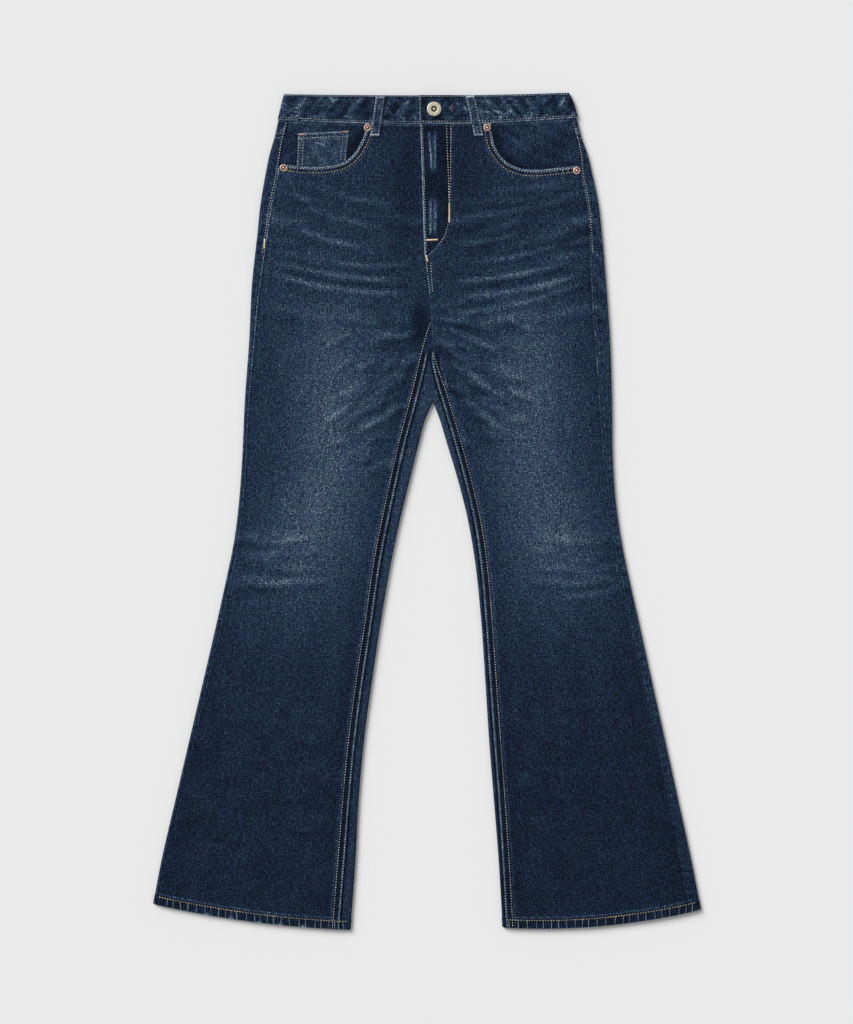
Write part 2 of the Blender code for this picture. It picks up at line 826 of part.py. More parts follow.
def pucker_rise(x, drop):
    share = (drop - WAIST_SEAM_DROP / 2) / WAIST_SEAM_DROP
    edge = smooth(3 * (0.5 - abs(share)))
    return edge * sum(
        pucker.rise * math.exp(-((x - pucker.x - pucker.lean * share) / pucker.width) ** 2)
        for pucker in PUCKERS
    )


def band_top_height(x, drop):
    """Outer height of the lapped upper layer of the waistband."""
    return BAND_TOP + (band_lift(x) if x > BAND_LAP_END - 1 else 0.0) + pucker_rise(x, drop)


def band_path(drop):
    """Path round the waistband at one drop: x, height and the wall's outward direction."""
    right_reach = outer_edge(RIGHT, drop)
    left_reach = outer_edge(LEFT, drop)
    radius = BAND_TOP / 2
    path = []

    def run(start, end, height):
        count = max(2, round(abs(end - start) / BAND_COLUMN))
        for step in range(count + 1):
            x = lerp(start, end, step / count)
            path.append((x, height(x), 0.0))

    def turn(centre, start, end, sign):
        for step in range(1, 6):
            angle = math.radians(lerp(start, end, step / 6))
            path.append((centre + sign * radius * math.cos(angle), radius + radius * math.sin(angle), angle))

    run(BAND_LAP_END, left_reach - radius, lambda x: band_top_height(x, drop))
    turn(left_reach - radius, 90, -90, 1)
    run(left_reach - radius, -right_reach + radius, lambda x: 0.0)
    turn(-right_reach + radius, -90, 90, -1)
    run(-right_reach + radius, BAND_UNDER_END, lambda x: BAND_TOP + pucker_rise(x, drop) * (x < BAND_LAP_END))
    return path


def waistband(material):
    """One strip round the waist, its left end lapped over its right end."""
    outer_grid = []
    inner_grid = []
    shares = [0.0, 0.04] + [lerp(0.04, 0.96, i / BAND_ROWS) for i in range(1, BAND_ROWS)] + [0.96, 1.0]
    radius = BAND_TOP / 2
    for share in shares:
        wall = BAND_EDGE_WALL if share in (0.0, 1.0) else BAND_WALL
        trim = (BAND_WALL - wall) / 2
        tops = []
        bottoms = []
        for x, height, angle in band_path(lerp(1.5, WAIST_SEAM_DROP, share)):
            drop = lerp(band_top_drop(x), band_foot_drop(x), share)
            if angle:
                sign = 1 if x > 0 else -1
                centre = x - sign * radius * math.cos(angle)
                out_r = radius - trim
                in_r = radius - trim - wall
                outer = (centre + sign * out_r * math.cos(angle), radius + out_r * math.sin(angle))
                inner = (centre + sign * in_r * math.cos(angle), radius + in_r * math.sin(angle))
            elif height > radius:
                outer = (x, height - trim)
                inner = (x, height - trim - wall)
            else:
                outer = (x, 0.0)
                inner = (x, BAND_WALL - trim)
            tops.append(Vector((outer[0], WAIST_TO_CENTRE - drop, outer[1])) * MM)
            bottoms.append(Vector((inner[0], WAIST_TO_CENTRE - drop, inner[1])) * MM)
        outer_grid.append(tops)
        inner_grid.append(bottoms)
    return shell("waistband", outer_grid, inner_grid, material)


def surface_height(x, drop):
    """Height of whatever cloth is uppermost at a place on the front."""
    if drop < band_foot_drop(x) + SEAM_GAP / 2:
        return band_top_height(x, drop)
    side = side_of(x)
    return front_height(side, abs(x), drop)


def belt_loop(loop, material):
    """Strap from the waistband's top edge to just below its lower seam."""
    length = loop.drop_foot - loop.drop_top
    stations = (0.0, 0.03, LOOP_TURN / length, 0.3, 0.5, 0.7, 1 - LOOP_TURN / length, 0.97, 1.0)
    across = (-0.5, -0.42, -0.14, 0.14, 0.42, 0.5)
    outer_grid = []
    inner_grid = []
    for t in stations:
        drop = lerp(loop.drop_top, loop.drop_foot, t)
        x = lerp(loop.x_top, loop.x_foot, t)
        under = max(surface_height(x + s * LOOP_WIDTH, d)
                    for s in across for d in (drop - LOOP_SPREAD, drop, drop + LOOP_SPREAD))
        bow = LOOP_BOW * math.sin(math.pi * t) ** 2
        tops = []
        bottoms = []
        for s in across:
            wall = LOOP_WALL * (LOOP_THINNING if abs(s) == 0.5 or t in (0.0, 1.0) else 1.0)
            point_x = x + s * LOOP_WIDTH
            low = under + SEAM_GAP + bow
            tops.append(Vector((point_x, WAIST_TO_CENTRE - drop, low + wall)) * MM)
            bottoms.append(Vector((point_x, WAIST_TO_CENTRE - drop, low)) * MM)
        outer_grid.append(tops)
        inner_grid.append(bottoms)
    return shell(loop.name, outer_grid, inner_grid, material)


def seat_height(stud, radius):
    """Height that clears the cloth under a round piece."""
    reach = [(0.0, 0.0)]
    for step in range(12):
        turn = math.pi * step / 6
        reach.append((radius * math.cos(turn), radius * math.sin(turn)))
    heights = [surface_height(stud.x + dx, stud.drop + dy) for dx, dy in reach]
    return max(heights) + SEAM_GAP


def stud(piece, profile, centre_height, sides, material):
    height = seat_height(piece, profile[0].radius)
    middle = Vector((piece.x, WAIST_TO_CENTRE - piece.drop, height)) * MM
    return lathe(piece.name, profile, centre_height, sides, middle, material)


for existing in list(bpy.data.objects):
    bpy.data.objects.remove(existing, do_unlink=True)

COLLECTION = bpy.data.collections.new("slim_bootcut_jeans")
bpy.context.scene.collection.children.link(COLLECTION)

DENIM = new_material("indigo_denim", "2A3C54", 0.9)
DARK_DENIM = new_material("dark_indigo_denim", "222F43", 0.92)
BUTTON_METAL = new_material("pewter", "B4AFA2", 0.38, 0.9)
COPPER = new_material("copper", "B78567", 0.35, 0.95)

for leg in (RIGHT, LEFT):
    front_panel(leg, DENIM)
    back_panel(leg, DENIM)
    yoke(leg, DENIM)
    pocket_facing(leg, DARK_DENIM)
waistband(DARK_DENIM)
coin_pocket(DENIM)
for strap in LOOPS:
    belt_loop(strap, DARK_DENIM)
for rivet in RIVETS:
    stud(rivet, RIVET_PROFILE, RIVET_CENTRE, RIVET_SIDES, COPPER)
stud(BUTTON, BUTTON_PROFILE, BUTTON_CENTRE, BUTTON_SIDES, BUTTON_METAL)
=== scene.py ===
"""The looks of slim bootcut jeans laid flat: worn denim, its seams and stitching, and the metal trim."""

import math
from collections import namedtuple

import bmesh
import bpy
import numpy as np
from bpy.props import FloatProperty, FloatVectorProperty, IntProperty, PointerProperty
from bpy.types import Operator, Panel, PropertyGroup
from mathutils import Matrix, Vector


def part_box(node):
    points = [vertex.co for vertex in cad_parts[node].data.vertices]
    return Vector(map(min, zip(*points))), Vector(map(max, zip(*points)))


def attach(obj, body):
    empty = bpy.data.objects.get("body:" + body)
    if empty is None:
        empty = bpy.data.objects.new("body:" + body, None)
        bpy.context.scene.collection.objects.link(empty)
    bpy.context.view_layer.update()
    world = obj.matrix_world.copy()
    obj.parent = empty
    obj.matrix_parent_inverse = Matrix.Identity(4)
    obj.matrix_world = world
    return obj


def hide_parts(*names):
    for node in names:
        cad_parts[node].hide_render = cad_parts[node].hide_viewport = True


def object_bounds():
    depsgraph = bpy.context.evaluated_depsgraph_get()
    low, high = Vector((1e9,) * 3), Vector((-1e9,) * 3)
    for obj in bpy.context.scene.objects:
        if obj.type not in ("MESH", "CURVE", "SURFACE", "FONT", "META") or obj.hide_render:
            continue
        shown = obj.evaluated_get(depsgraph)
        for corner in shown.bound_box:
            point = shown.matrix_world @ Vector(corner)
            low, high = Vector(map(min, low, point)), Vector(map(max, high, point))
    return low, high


bl_info = {
    "name": "Slim bootcut jeans",
    "version": (1, 0, 0),
    "blender": (4, 5, 0),
    "location": "View3D > Sidebar > Jeans",
    "description": "Builds worn bootcut jeans laid flat on a plain floor",
    "category": "Add Mesh",
}

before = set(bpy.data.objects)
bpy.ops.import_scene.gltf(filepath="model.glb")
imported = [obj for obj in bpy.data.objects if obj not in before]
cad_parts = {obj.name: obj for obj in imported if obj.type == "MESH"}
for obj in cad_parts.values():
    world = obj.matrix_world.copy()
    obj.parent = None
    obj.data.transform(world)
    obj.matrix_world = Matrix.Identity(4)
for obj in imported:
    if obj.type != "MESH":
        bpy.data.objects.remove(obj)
CAD_LOW, CAD_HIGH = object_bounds()

# Sizes are in millimetres. "drop" is the distance below the waist's top edge,
# "out" the distance from the centre line toward the side seam of the wearer's own side.
MM = 0.001
WALL = 1.2
SEAM_GAP = 0.3
HALF_GAP = SEAM_GAP / 2
WAIST_TO_CENTRE = CAD_HIGH.y / MM - 2.0
FOLD_DROP = 400.0
CROTCH_DROP = 329.0
STRIP_DROP = 335.5
FLY_END_DROP = 213.0
OPENING_END_DROP = 125.0
EDGE_HEIGHT = 5.0
EDGE_RISE_WIDTH = 26.0
FELL_WIDTH = 11.0
FELL_RISE = 0.5
HEM_WIDTH = 12.4
HEM_RISE = 0.9
HEM_STEP = 0.8
FLY_LAP = 8.0
FLY_RISE = WALL + SEAM_GAP
FLY_FLAT = 21.0
FLY_RAMP = 10.0
FLY_RAMP_END = 28.0
FACING_LAP = 15.0
FACING_LIFT = 0.35
WAIST_SEAM_DROP = 38.8
BAND_DEPTH = 37.0
BAND_WALL = 2.4
BAND_TOP = 5.8
BAND_LAP_RISE = BAND_WALL + SEAM_GAP
BAND_LAP_END = -10.4
BAND_UNDER_END = 18.0
BAND_LAP_RAMP = 30.0
YOKE_OUTER_DROP = 58.0
YOKE_INNER_DROP = 101.0
TURNED_RISE = 0.35
LOOP_WIDTH = 11.6
LOOP_WALL = 1.6
LOOP_BOW = 0.9
COIN_WALL = 1.0
COIN_GAP = 0.8
COIN_WIDTH = 68.0
NO_HEM = 999.0

# Steps of the grids
COLUMN_STEP = 1.7
FINE_COLUMNS = 36
FINE_WIDTH = 43.0
ROW_STEP = 3.8
OPENING_ROWS = 64
YOKE_ROWS = 14
BELOW_YOKE_ROWS = 9
ARC_STEPS = 8
BOTTOM_COLUMNS = 34
BAND_FRONT = 104
BAND_TURN = 9
BAND_BACK = 90
BAND_UNDER = 110


def table(name, fields, *rows):
    """Rows of numbers with named columns."""
    row_type = namedtuple(name, fields)
    return tuple(row_type(*row) for row in rows)


RIGHT, LEFT = LEGS = table(
    "Leg", "name sign hem_outer hem_inner hem_bow seam_end_drop",
    ("right", -1, 1053.5, 1087.0, 6.0, 33.0), ("left", 1, 1061.0, 1084.0, 9.5, 30.2))

OUTER = table(
    "Outer", "drop right_edge right_inset left_edge left_inset",
    (-2, 185.5, 13.7, 183.5, 7.8), (16, 190, 13.7, 191, 7.8), (36, 194, 13.0, 196, 7.8),
    (57, 199, 12.2, 201.5, 6.4), (80, 205.5, 14.8, 209.5, 10), (100, 209.5, 15.5, 214.2, 13),
    (144, 217, 13.8, 223.4, 13.6), (183, 221, 12, 227.7, 14.8), (242, 227.5, 9.4, 232.8, 17.4),
    (320, 231.5, 5.6, 238.2, 18), (400, 237.3, 4.2, 240.8, 15), (476, 240.8, 4.0, 241.9, 10.6),
    (528, 244.6, 4.0, 245.5, 11), (580, 251, 4.2, 252.7, 12), (632, 261.5, 4.6, 263.3, 12.6),
    (684, 273, 5, 275, 13), (762, 291, 5, 292.2, 13), (840, 309.3, 5, 309.6, 13.4),
    (918, 327.5, 5, 326.8, 14.6), (996, 345.5, 5, 343.8, 16.2), (1062, 358.0, 5, 356.6, 17.6))
INNER = table(
    "Inner", "drop right_edge left_edge",
    (400, -7.8, 7.8), (424, 2.6, 16.9), (450, 9.7, 24.7), (502, 22.6, 40.3), (554, 35.2, 53.3),
    (606, 46.2, 62.2), (684, 59.8, 70.4), (762, 71.5, 75.8), (840, 82.0, 80.8), (918, 89.0, 87.0),
    (996, 93.2, 93.2), (1088, 99.8, 98.6))
INSEAM = table(
    "Inseam", "drop right left",
    (329, -5.2, 5.4), (336, -2.6, 5.4), (348, 0.0, 5.2), (360, 2.7, 7.6), (400, 12.8, 19.0),
    (450, 26.0, 33.9), (502, 37.8, 48.0), (554, 48.8, 59.9), (606, 58.9, 67.8), (684, 70.2, 74.9),
    (762, 82.1, 80.3), (840, 92.2, 85.9), (918, 99.7, 91.7), (996, 106.0, 96.9), (1088, 113.3, 102.1))
CENTRE = table(
    "Centre", "drop front back",
    (30, -9.2, 0), (72, -7.8, 0.7), (112, -6.5, 1.4), (157, -5.2, 2.3), (203, -3.5, 3.2), (229, -1.3, 3.9),
    (255, 1.7, 4.4), (277, 4.2, 4.7), (329, 5.3, 5.3), (346, 3.2, 3.2), (372, 3.8, 3.8), (400, 7.8, 7.8))
OPENING = table(
    "Opening", "at right_out right_drop left_out left_drop",
    (0, 79.5, 37.6, 83.0, 37.1), (1, 80.5, 48.0, 84.2, 48.5), (2, 85.0, 61.0, 87.4, 65.5),
    (3, 93.0, 75.0, 94.5, 78.5), (4, 104.0, 86.0, 104.5, 89.0), (5, 117.0, 91.6, 117.5, 95.4),
    (6, 138.0, 94.4, 133.0, 98.4), (7, 165.0, 94.0, 156.0, 97.6), (8, 187.5, 91.0, 196.0, 92.8))
HEIGHTS = table("Height", "drop height", (0, 6.2), (300, 6.2), (560, 5.9), (1088, 5.6))

# Rows of the panels: drop at the outer and inner end, then distances above the hem's edge
ROWS = ((91, 123), (205, 214)) + tuple(
    (drop, drop) for drop in (290, CROTCH_DROP, STRIP_DROP, FOLD_DROP - 1.5, FOLD_DROP, 480, 640))
HEM_ROWS = (16.6, 15.3, 14.3, 13.2, 12.4, 11.4, 9.6, 7.8, 6.0, 4.2, 2.6, 1.4, 0.6, 0.0)
# Columns of the upper strips: share of the width, and how much the edge is rounded off
OUTER_STRIP = (
    (0.0, 0.45), (0.04, 0.25), (0.09, 0.0), (0.15, 0.0), (0.21, 0.0), (0.27, 0.0), (0.35, 0.0), (0.5, 0.0),
    (0.75, 0.0))
INNER_STRIP = ((0.25, 0.0), (0.5, 0.0), (0.75, 0.0), (0.92, 0.0), (0.97, 0.2), (1.0, 0.45))
FOLD_START = len(OUTER_STRIP) + ARC_STEPS + BOTTOM_COLUMNS

CREASES = table(
    "Crease", "leg out1 drop1 out2 drop2 sag width rise",
    ("left", 62, 126, 172, 114, 3, 5.5, 0.35), ("left", 56, 158, 147, 143, 3, 5.0, 0.40),
    ("left", 38, 196, 127, 177, 3, 4.5, 0.55), ("left", 54, 219, 182, 191, 5, 5.0, 0.65),
    ("left", 34, 243, 200, 214, 6, 4.5, 0.75), ("left", 31, 264, 208, 231, 7, 5.0, 0.70),
    ("left", 18, 285, 213, 241, 10, 5.0, 0.75), ("left", 14, 301, 95, 338, -4, 6.0, 0.50),
    ("left", 24, 345, 92, 394, -4, 6.0, 0.60), ("left", 40, 392, 98, 440, -4, 7.0, 0.45),
    ("left", 258, 640, 172, 652, 4, 7.0, 0.50), ("left", 251, 612, 186, 621, 3, 6.0, 0.40),
    ("right", 35, 146, 126, 124, 4, 5.5, 0.35), ("right", 60, 172, 166, 143, 4, 5.0, 0.45),
    ("right", 70, 199, 174, 170, 6, 5.0, 0.65), ("right", 14, 220, 134, 216, 5, 4.5, 0.60),
    ("right", 30, 241, 205, 214, 8, 5.0, 0.75), ("right", 10, 259, 212, 230, 9, 5.0, 0.75),
    ("right", 18, 314, 100, 303, 3, 6.0, 0.40), ("right", 22, 356, 68, 390, 3, 5.5, 0.55),
    ("right", 30, 401, 92, 438, 3, 6.0, 0.60), ("right", 46, 470, 88, 492, 2, 6.5, 0.40),
    ("right", 188, 97, 166, 140, -2, 3.0, 0.50), ("right", 172, 128, 146, 152, -3, 5.5, 0.40),
    ("right", 248, 634, 162, 629, 4, 7.0, 0.50), ("right", 244, 598, 184, 594, 3, 6.0, 0.40))

PUCKERS = table(
    "Pucker", "x lean width rise",
    (-168, 9, 5, 0.30), (-141, -6, 4, 0.25), (-112, 10, 5, 0.35), (-84, 7, 4, 0.25), (-34, -8, 5, 0.30),
    (82, -9, 5, 0.35), (108, 6, 4, 0.25), (134, -10, 5, 0.35), (163, -7, 5, 0.30))

# Worn patches: soft ovals where the indigo has rubbed away (or, below zero, stayed dark). The dark oval at
# out 8, drop 300 on the right leg is painted shadow under the crotch.
PATCHES = table(
    "Patch", "leg out drop across along share",
    ("right", 120, 300, 62, 110, 0.09), ("right", 126, 440, 48, 130, 0.22),
    ("right", 160, 575, 56, 80, 0.17), ("right", 200, 640, 60, 70, 0.06), ("right", 24, 130, 26, 90, -0.14),
    # The right leg's oval at out 8, drop 300 is painted shadow under the crotch, not wear.
    ("right", 8, 300, 12, 30, -0.26), ("right", 205, 170, 26, 120, 0.07), ("left", 128, 300, 62, 110, 0.10),
    ("left", 136, 440, 50, 135, 0.19), ("left", 166, 580, 54, 80, 0.16), ("left", 120, 190, 90, 70, -0.05),
    ("left", 230, 860, 140, 220, -0.03), ("left", 200, 640, 60, 70, 0.05), ("left", 46, 100, 30, 70, -0.10))

# Rubbing down the middle of a panel, by drop
FRONT_RUB = table(
    "Rub", "drop share",
    (30, 0.22), (120, 0.26), (230, 0.27), (330, 0.27), (430, 0.27), (560, 0.27), (640, 0.25), (720, 0.21),
    (850, 0.17), (1090, 0.14))
BACK_RUB = table(
    "Rub", "drop share",
    (30, 0.26), (400, 0.30), (700, 0.26), (1090, 0.18))

# Small creases that many wearings left, drawn at random within these bounds.
# Lean is the fall in drop for each millimetre outward.
WRINKLES = table(
    "Wrinkles", "leg count out1 out2 drop1 drop2 lean spread length width share",
    ("right", 26, 14, 210, 118, 215, -0.22, 0.06, 70, 4.5, 0.06),
    ("left", 26, 36, 222, 118, 215, -0.22, 0.06, 70, 4.5, 0.10),
    ("right", 18, 30, 200, 215, 290, -0.20, 0.06, 60, 4.5, 0.05),
    ("left", 18, 40, 210, 215, 290, -0.20, 0.06, 60, 4.5, 0.09),
    ("right", 30, 22, 120, 310, 480, 0.62, 0.16, 34, 3.4, 0.15),
    ("left", 30, 22, 124, 290, 450, 0.45, 0.16, 34, 3.4, 0.15),
    ("right", 20, 150, 245, 565, 645, 0.02, 0.06, 46, 4.5, 0.10),
    ("left", 20, 150, 248, 565, 645, 0.02, 0.06, 46, 4.5, 0.10),
    ("right", 60, 90, 320, 660, 1030, 0.00, 0.30, 40, 4.5, 0.03),
    ("left", 60, 90, 320, 660, 1030, 0.00, 0.30, 40, 4.5, 0.03))

# Places along the right hem where the fold has worn through, by distance out
HEM_FRAYS = (286.0, 254.5, 218.0, 191.0, 160.5)

LOOPS = table(
    "Loop", "node x_top drop_top x_foot drop_foot",
    ("right_front_belt_loop", -60.5, 2.6, -68.0, 55.0), ("left_front_belt_loop", 55.8, 1.4, 67.4, 54.6))

COIN_OUTER, COIN_INNER = table(
    "CoinSide", "inward top_out top_drop foot_out foot_drop",
    (1, 167.8, 50.6, 169.4, 93.0), (-1, 101.4, 47.6, 105.4, 86.4))


def smooth(value):
    value = np.clip(value, 0.0, 1.0)
    return value * value * (3 - 2 * value)


def lerp(a, b, t):
    return a + (b - a) * t


def bell(distance, width):
    return np.exp(-(distance / width) ** 2)


def lines_at(distance, *lines):
    """Sum of soft lines beside an edge. Each has its strength, its distance from the edge and its width."""
    return sum(strength * bell(distance - at, width) for strength, at, width in lines)


def rounded(distance, depth=0.45, width=0.9):
    """How far a wall's face falls away near its edge."""
    return depth * (1 - smooth(distance / width))


def spline(rows, field, at):
    """Smooth value of one column of a table at places along its first column."""
    places = np.array([row[0] for row in rows], float)
    values = np.array([getattr(row, field) for row in rows], float)
    spans = np.diff(places)
    chords = np.diff(values) / spans
    slopes = np.concatenate((chords[:1], chords[1:], chords[-1:]))
    weight = spans[:-1] / (spans[:-1] + spans[1:])
    slopes[1:-1] = lerp(chords[:-1], chords[1:], weight)
    at = np.clip(np.asarray(at, float), places[0], places[-1])
    index = np.clip(np.searchsorted(places, at, side="right") - 1, 0, len(spans) - 1)
    chord = chords[index]
    span = spans[index]
    start = np.where(index == 0, chord, slopes[index]) * span
    end = np.where(index == len(spans) - 1, chord, slopes[index + 1]) * span
    rise = chord * span
    t = (at - places[index]) / span
    return values[index] + t * (start + t * (3 * rise - 2 * start - end + t * (start + end - 2 * rise)))


def outer_edge(leg, drop):
    return spline(OUTER, leg.name + "_edge", drop)


def outseam(leg, drop):
    return outer_edge(leg, drop) - spline(OUTER, leg.name + "_inset", drop)


def inner_edge(leg, drop):
    return spline(INNER, leg.name + "_edge", drop)


def inseam(leg, drop):
    return spline(INSEAM, leg.name, drop)


def centre_front(leg, drop):
    return leg.sign * spline(CENTRE, "front", drop)


def centre_back(leg, drop):
    return leg.sign * spline(CENTRE, "back", drop)


def opening_point(leg, t):
    """Place on a pocket opening, from the waistband (0) to the outseam (1)."""
    at = np.asarray(t) * (len(OPENING) - 1)
    return spline(OPENING, leg.name + "_out", at), spline(OPENING, leg.name + "_drop", at)


def opening_drop(leg, out):
    outs, drops = opening_point(leg, np.linspace(0, 1, 200))
    return np.interp(out, outs, drops)


def creases(leg, out, drop):
    """Height of the creases at a place, and their wear with painted shade: light where a ridge is rubbed,
    painted shade beside it.
    """
    height = np.zeros(np.broadcast(out, drop).shape)
    rub_and_crease_shade = np.zeros(height.shape)
    for crease in CREASES:
        if crease.leg != leg.name:
            continue
        run = crease.out2 - crease.out1
        fall = crease.drop2 - crease.drop1
        length = math.hypot(run, fall)
        along = ((out - crease.out1) * run + (drop - crease.drop1) * fall) / length ** 2
        across = ((out - crease.out1) * fall - (drop - crease.drop1) * run) / length
        across = -across if run > 0 else across
        away = (across - crease.sag * 4 * along * (1 - along)) / crease.width
        ends = smooth(4 * along) * smooth(4 * (1 - along))
        ridge = np.exp(-away * away)
        height += crease.rise * ridge * ends
        # Light from rubbing on the ridge, less a wider band of painted shade on both sides of it.
        rub_and_crease_shade += crease.rise * (1.25 * np.exp(-(away * 1.3) ** 2) - 0.45 * np.exp(-(away * 0.55) ** 2)) * ends
    return height, rub_and_crease_shade


def rub_mark(side, drop, middle, angle, half, bend=0.0):
    """Distance across a short slanting mark at a place, and a share that fades out at the mark's ends."""
    run, fall = math.cos(angle), math.sin(angle)
    along = (side - middle[0]) * run + (drop - middle[1]) * fall
    across = (drop - middle[1]) * run - (side - middle[0]) * fall
    return across + bend * along ** 2, smooth(1.6 * (1 - np.abs(along) / half))


def wrinkles(leg, out, drop):
    """Wear along small creases with painted shade: light where the ridge is rubbed, painted shade beside it.
    """
    random = np.random.default_rng(23)
    total = np.zeros(np.broadcast(out, drop).shape)
    for zone in (zone for zone in WRINKLES if zone.leg == leg.name):
        for _ in range(zone.count):
            middle = (random.uniform(zone.out1, zone.out2), random.uniform(zone.drop1, zone.drop2))
            lean = zone.lean + random.normal() * zone.spread
            half = zone.length * random.uniform(0.35, 0.9)
            width = zone.width * random.uniform(0.7, 1.5)
            share = zone.share * random.uniform(0.4, 1.3)
            across, ends = rub_mark(out, drop, middle, math.atan(lean), half, 0.0022)
            # The bell on the ridge is wear; the lowered band beside it is painted shade.
            total += share * ends * (bell(across, width) - 0.6 * bell(across - 2.1 * width, 1.2 * width))
    return total


def flat_height(leg, out, drop):
    """Outer height of the upper layer before creases, laps and seams."""
    middle = spline(HEIGHTS, "height", drop)
    to_outer = outer_edge(leg, drop) - out
    below = out - inner_edge(leg, drop)
    above = np.hypot(out - inner_edge(leg, FOLD_DROP), FOLD_DROP - drop)
    to_inner = np.where(np.asarray(drop) > FOLD_DROP, below, above)
    near = smooth(np.minimum(to_outer, to_inner) / EDGE_RISE_WIDTH)
    return lerp(EDGE_HEIGHT, middle, near)


def fly_rise(leg, out, drop):
    if leg is RIGHT:
        return 0.0
    across = (FLY_FLAT + FLY_RAMP - out) / FLY_RAMP
    ending = 1 - (drop - FLY_END_DROP) / FLY_RAMP_END
    return FLY_RISE * smooth(across) * smooth(ending)


def slack(out, drop):
    """Slow unevenness of cloth that was smoothed flat by hand."""
    return (
        0.16 * np.sin(out / 21.0 + drop / 63.0)
        + 0.13 * np.sin(out / 13.0 - drop / 47.0 + 1.7)
        + 0.10 * np.sin(drop / 29.0 + out / 55.0 + 0.6))


def front_height(leg, out, drop):
    """Outer height of a front without its felled seam and hem."""
    rise, _ = creases(leg, out, drop)
    away = smooth((outer_edge(leg, drop) - out - 16) / 30) * smooth((out - 14) / 30)
    return flat_height(leg, out, drop) + rise + fly_rise(leg, out, drop) + slack(out, drop) * away * 0.8


def front_fell(leg, drop):
    start = FLY_END_DROP + 8 if leg is LEFT else CROTCH_DROP
    return FELL_RISE * smooth((drop - start) / 12.0)


def row_inner_out(leg, row):
    below = inner_edge(leg, row[1])
    return np.where(np.asarray(row[1]) >= FOLD_DROP, below, centre_back(leg, row[1]))


def row_drop(leg, row, out):
    """Drop of a panel's row at a distance out. A row is its outer drop, inner drop and bow."""
    start = outer_edge(leg, row[0])
    t = (start - out) / (start - row_inner_out(leg, row))
    return lerp(row[0], row[1], t) + 4 * row[2] * t * (1 - t)


def hem_turn(hem_up):
    """1 on the hem's double turn, 0 above it."""
    return smooth((HEM_WIDTH + HEM_STEP - hem_up) / HEM_STEP)


def on_row(leg, row, border):
    """Distance out at which a row meets a border."""
    out = border(row[0])
    for _ in range(6):
        out = border(row_drop(leg, row, out))
    return out


def rows_between(first, last, count):
    return [tuple(lerp(a, b, i / count) for a, b in zip(first, last)) for i in range(count)]


def hem_line_row(leg, up):
    return (leg.hem_outer - up, leg.hem_inner - up, leg.hem_bow)


def panel_rows(leg):
    """Rows from the foot of the pocket opening to the hem, about a step apart."""
    ends = [(*row, 0.0) for row in ROWS] + [hem_line_row(leg, HEM_ROWS[0])]
    rows = []
    for here, after in zip(ends, ends[1:]):
        count = max(1, round(max(after[0] - here[0], after[1] - here[1]) / ROW_STEP))
        rows += rows_between(here, after, count)
    return rows + [hem_line_row(leg, up) for up in HEM_ROWS]


def waist_row(leg, below):
    bow = (WAIST_SEAM_DROP - leg.seam_end_drop) / 4
    return (leg.seam_end_drop + below, WAIST_SEAM_DROP + below, bow)


def place_x(x, drop, height):
    """Points in metres from distances across, drops and heights."""
    x, drop, height = np.broadcast_arrays(x, drop, height)
    return np.stack((x, WAIST_TO_CENTRE - drop, height), -1) * MM


def place(leg, out, drop, height):
    return place_x(leg.sign * out, drop, height)


def link_piece(name, data):
    piece = bpy.data.objects.new(name, data)
    bpy.context.scene.collection.objects.link(piece)
    return piece


def shade_smooth(mesh):
    mesh.polygons.foreach_set("use_smooth", np.ones(len(mesh.polygons), bool))


def cloth_piece(name, outer, inner, wear, grain, keep=None):
    """Closed wall between two grids of points, with the wear and the cloth's own map on it."""
    rows, columns = outer.shape[:2]
    keep = np.ones((rows - 1, columns - 1), bool) if keep is None else keep
    number = np.arange(rows * columns).reshape(rows, columns)
    count = rows * columns
    quads = np.stack((number[:-1, :-1], number[:-1, 1:], number[1:, 1:], number[1:, :-1]), -1)[keep]
    faces = [quads, quads[:, ::-1] + count]
    padded = np.pad(keep, 1)
    across, down = padded[:, 1:-1], padded[1:-1]
    rims = (
        (number[:, :-1], number[:, 1:], across[1:] & ~across[:-1], True),
        (number[:, :-1], number[:, 1:], across[:-1] & ~across[1:], False),
        (number[:-1], number[1:], down[:, 1:] & ~down[:, :-1], False),
        (number[:-1], number[1:], down[:, :-1] & ~down[:, 1:], True))
    for first, second, edge, flip in rims:
        a, b = (second[edge], first[edge]) if flip else (first[edge], second[edge])
        faces.append(np.stack((a, b, b + count, a + count), -1))
    faces = np.concatenate(faces)
    points = np.concatenate((outer.reshape(-1, 3), inner.reshape(-1, 3)))
    used, faces = np.unique(faces, return_inverse=True)
    faces = faces.reshape(-1, 4)
    points = points[used]
    a, b, c, d = (points[faces[:, i]] for i in range(4))
    volume = np.einsum("ij,ij->i", a, np.cross(b, c)) + np.einsum("ij,ij->i", a, np.cross(c, d))
    if volume.sum() < 0:
        faces = faces[:, ::-1]
    mesh = bpy.data.meshes.new(name)
    mesh.from_pydata(points.tolist(), [], faces.tolist())
    both = np.concatenate((wear.reshape(-1), wear.reshape(-1)))[used]
    worn = mesh.attributes.new("wear", "FLOAT", "POINT")
    worn.data.foreach_set("value", np.clip(both, 0.0, 1.0).astype(np.float32))
    flat = np.concatenate((grain.reshape(-1, 2), grain.reshape(-1, 2)))[used] * MM
    cloth_map = mesh.uv_layers.new(name="cloth")
    corner = np.empty(len(mesh.loops), np.int32)
    mesh.loops.foreach_get("vertex_index", corner)
    cloth_map.data.foreach_set("uv", flat[corner].astype(np.float32).reshape(-1))
    shade_smooth(mesh)
    mesh.set_sharp_from_angle(angle=math.radians(40))
    return link_piece(name, mesh)


def finish_cloth(piece, material, node):
    piece.data.materials.append(material)
    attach(piece, "root")
    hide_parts(node)


# Wear


def patches(leg, out, drop):
    total = 0.0
    for patch in PATCHES:
        if patch.leg == leg.name:
            away = ((out - patch.out) / patch.across) ** 2 + ((drop - patch.drop) / patch.along) ** 2
            total = total + patch.share * np.exp(-away)
    return total


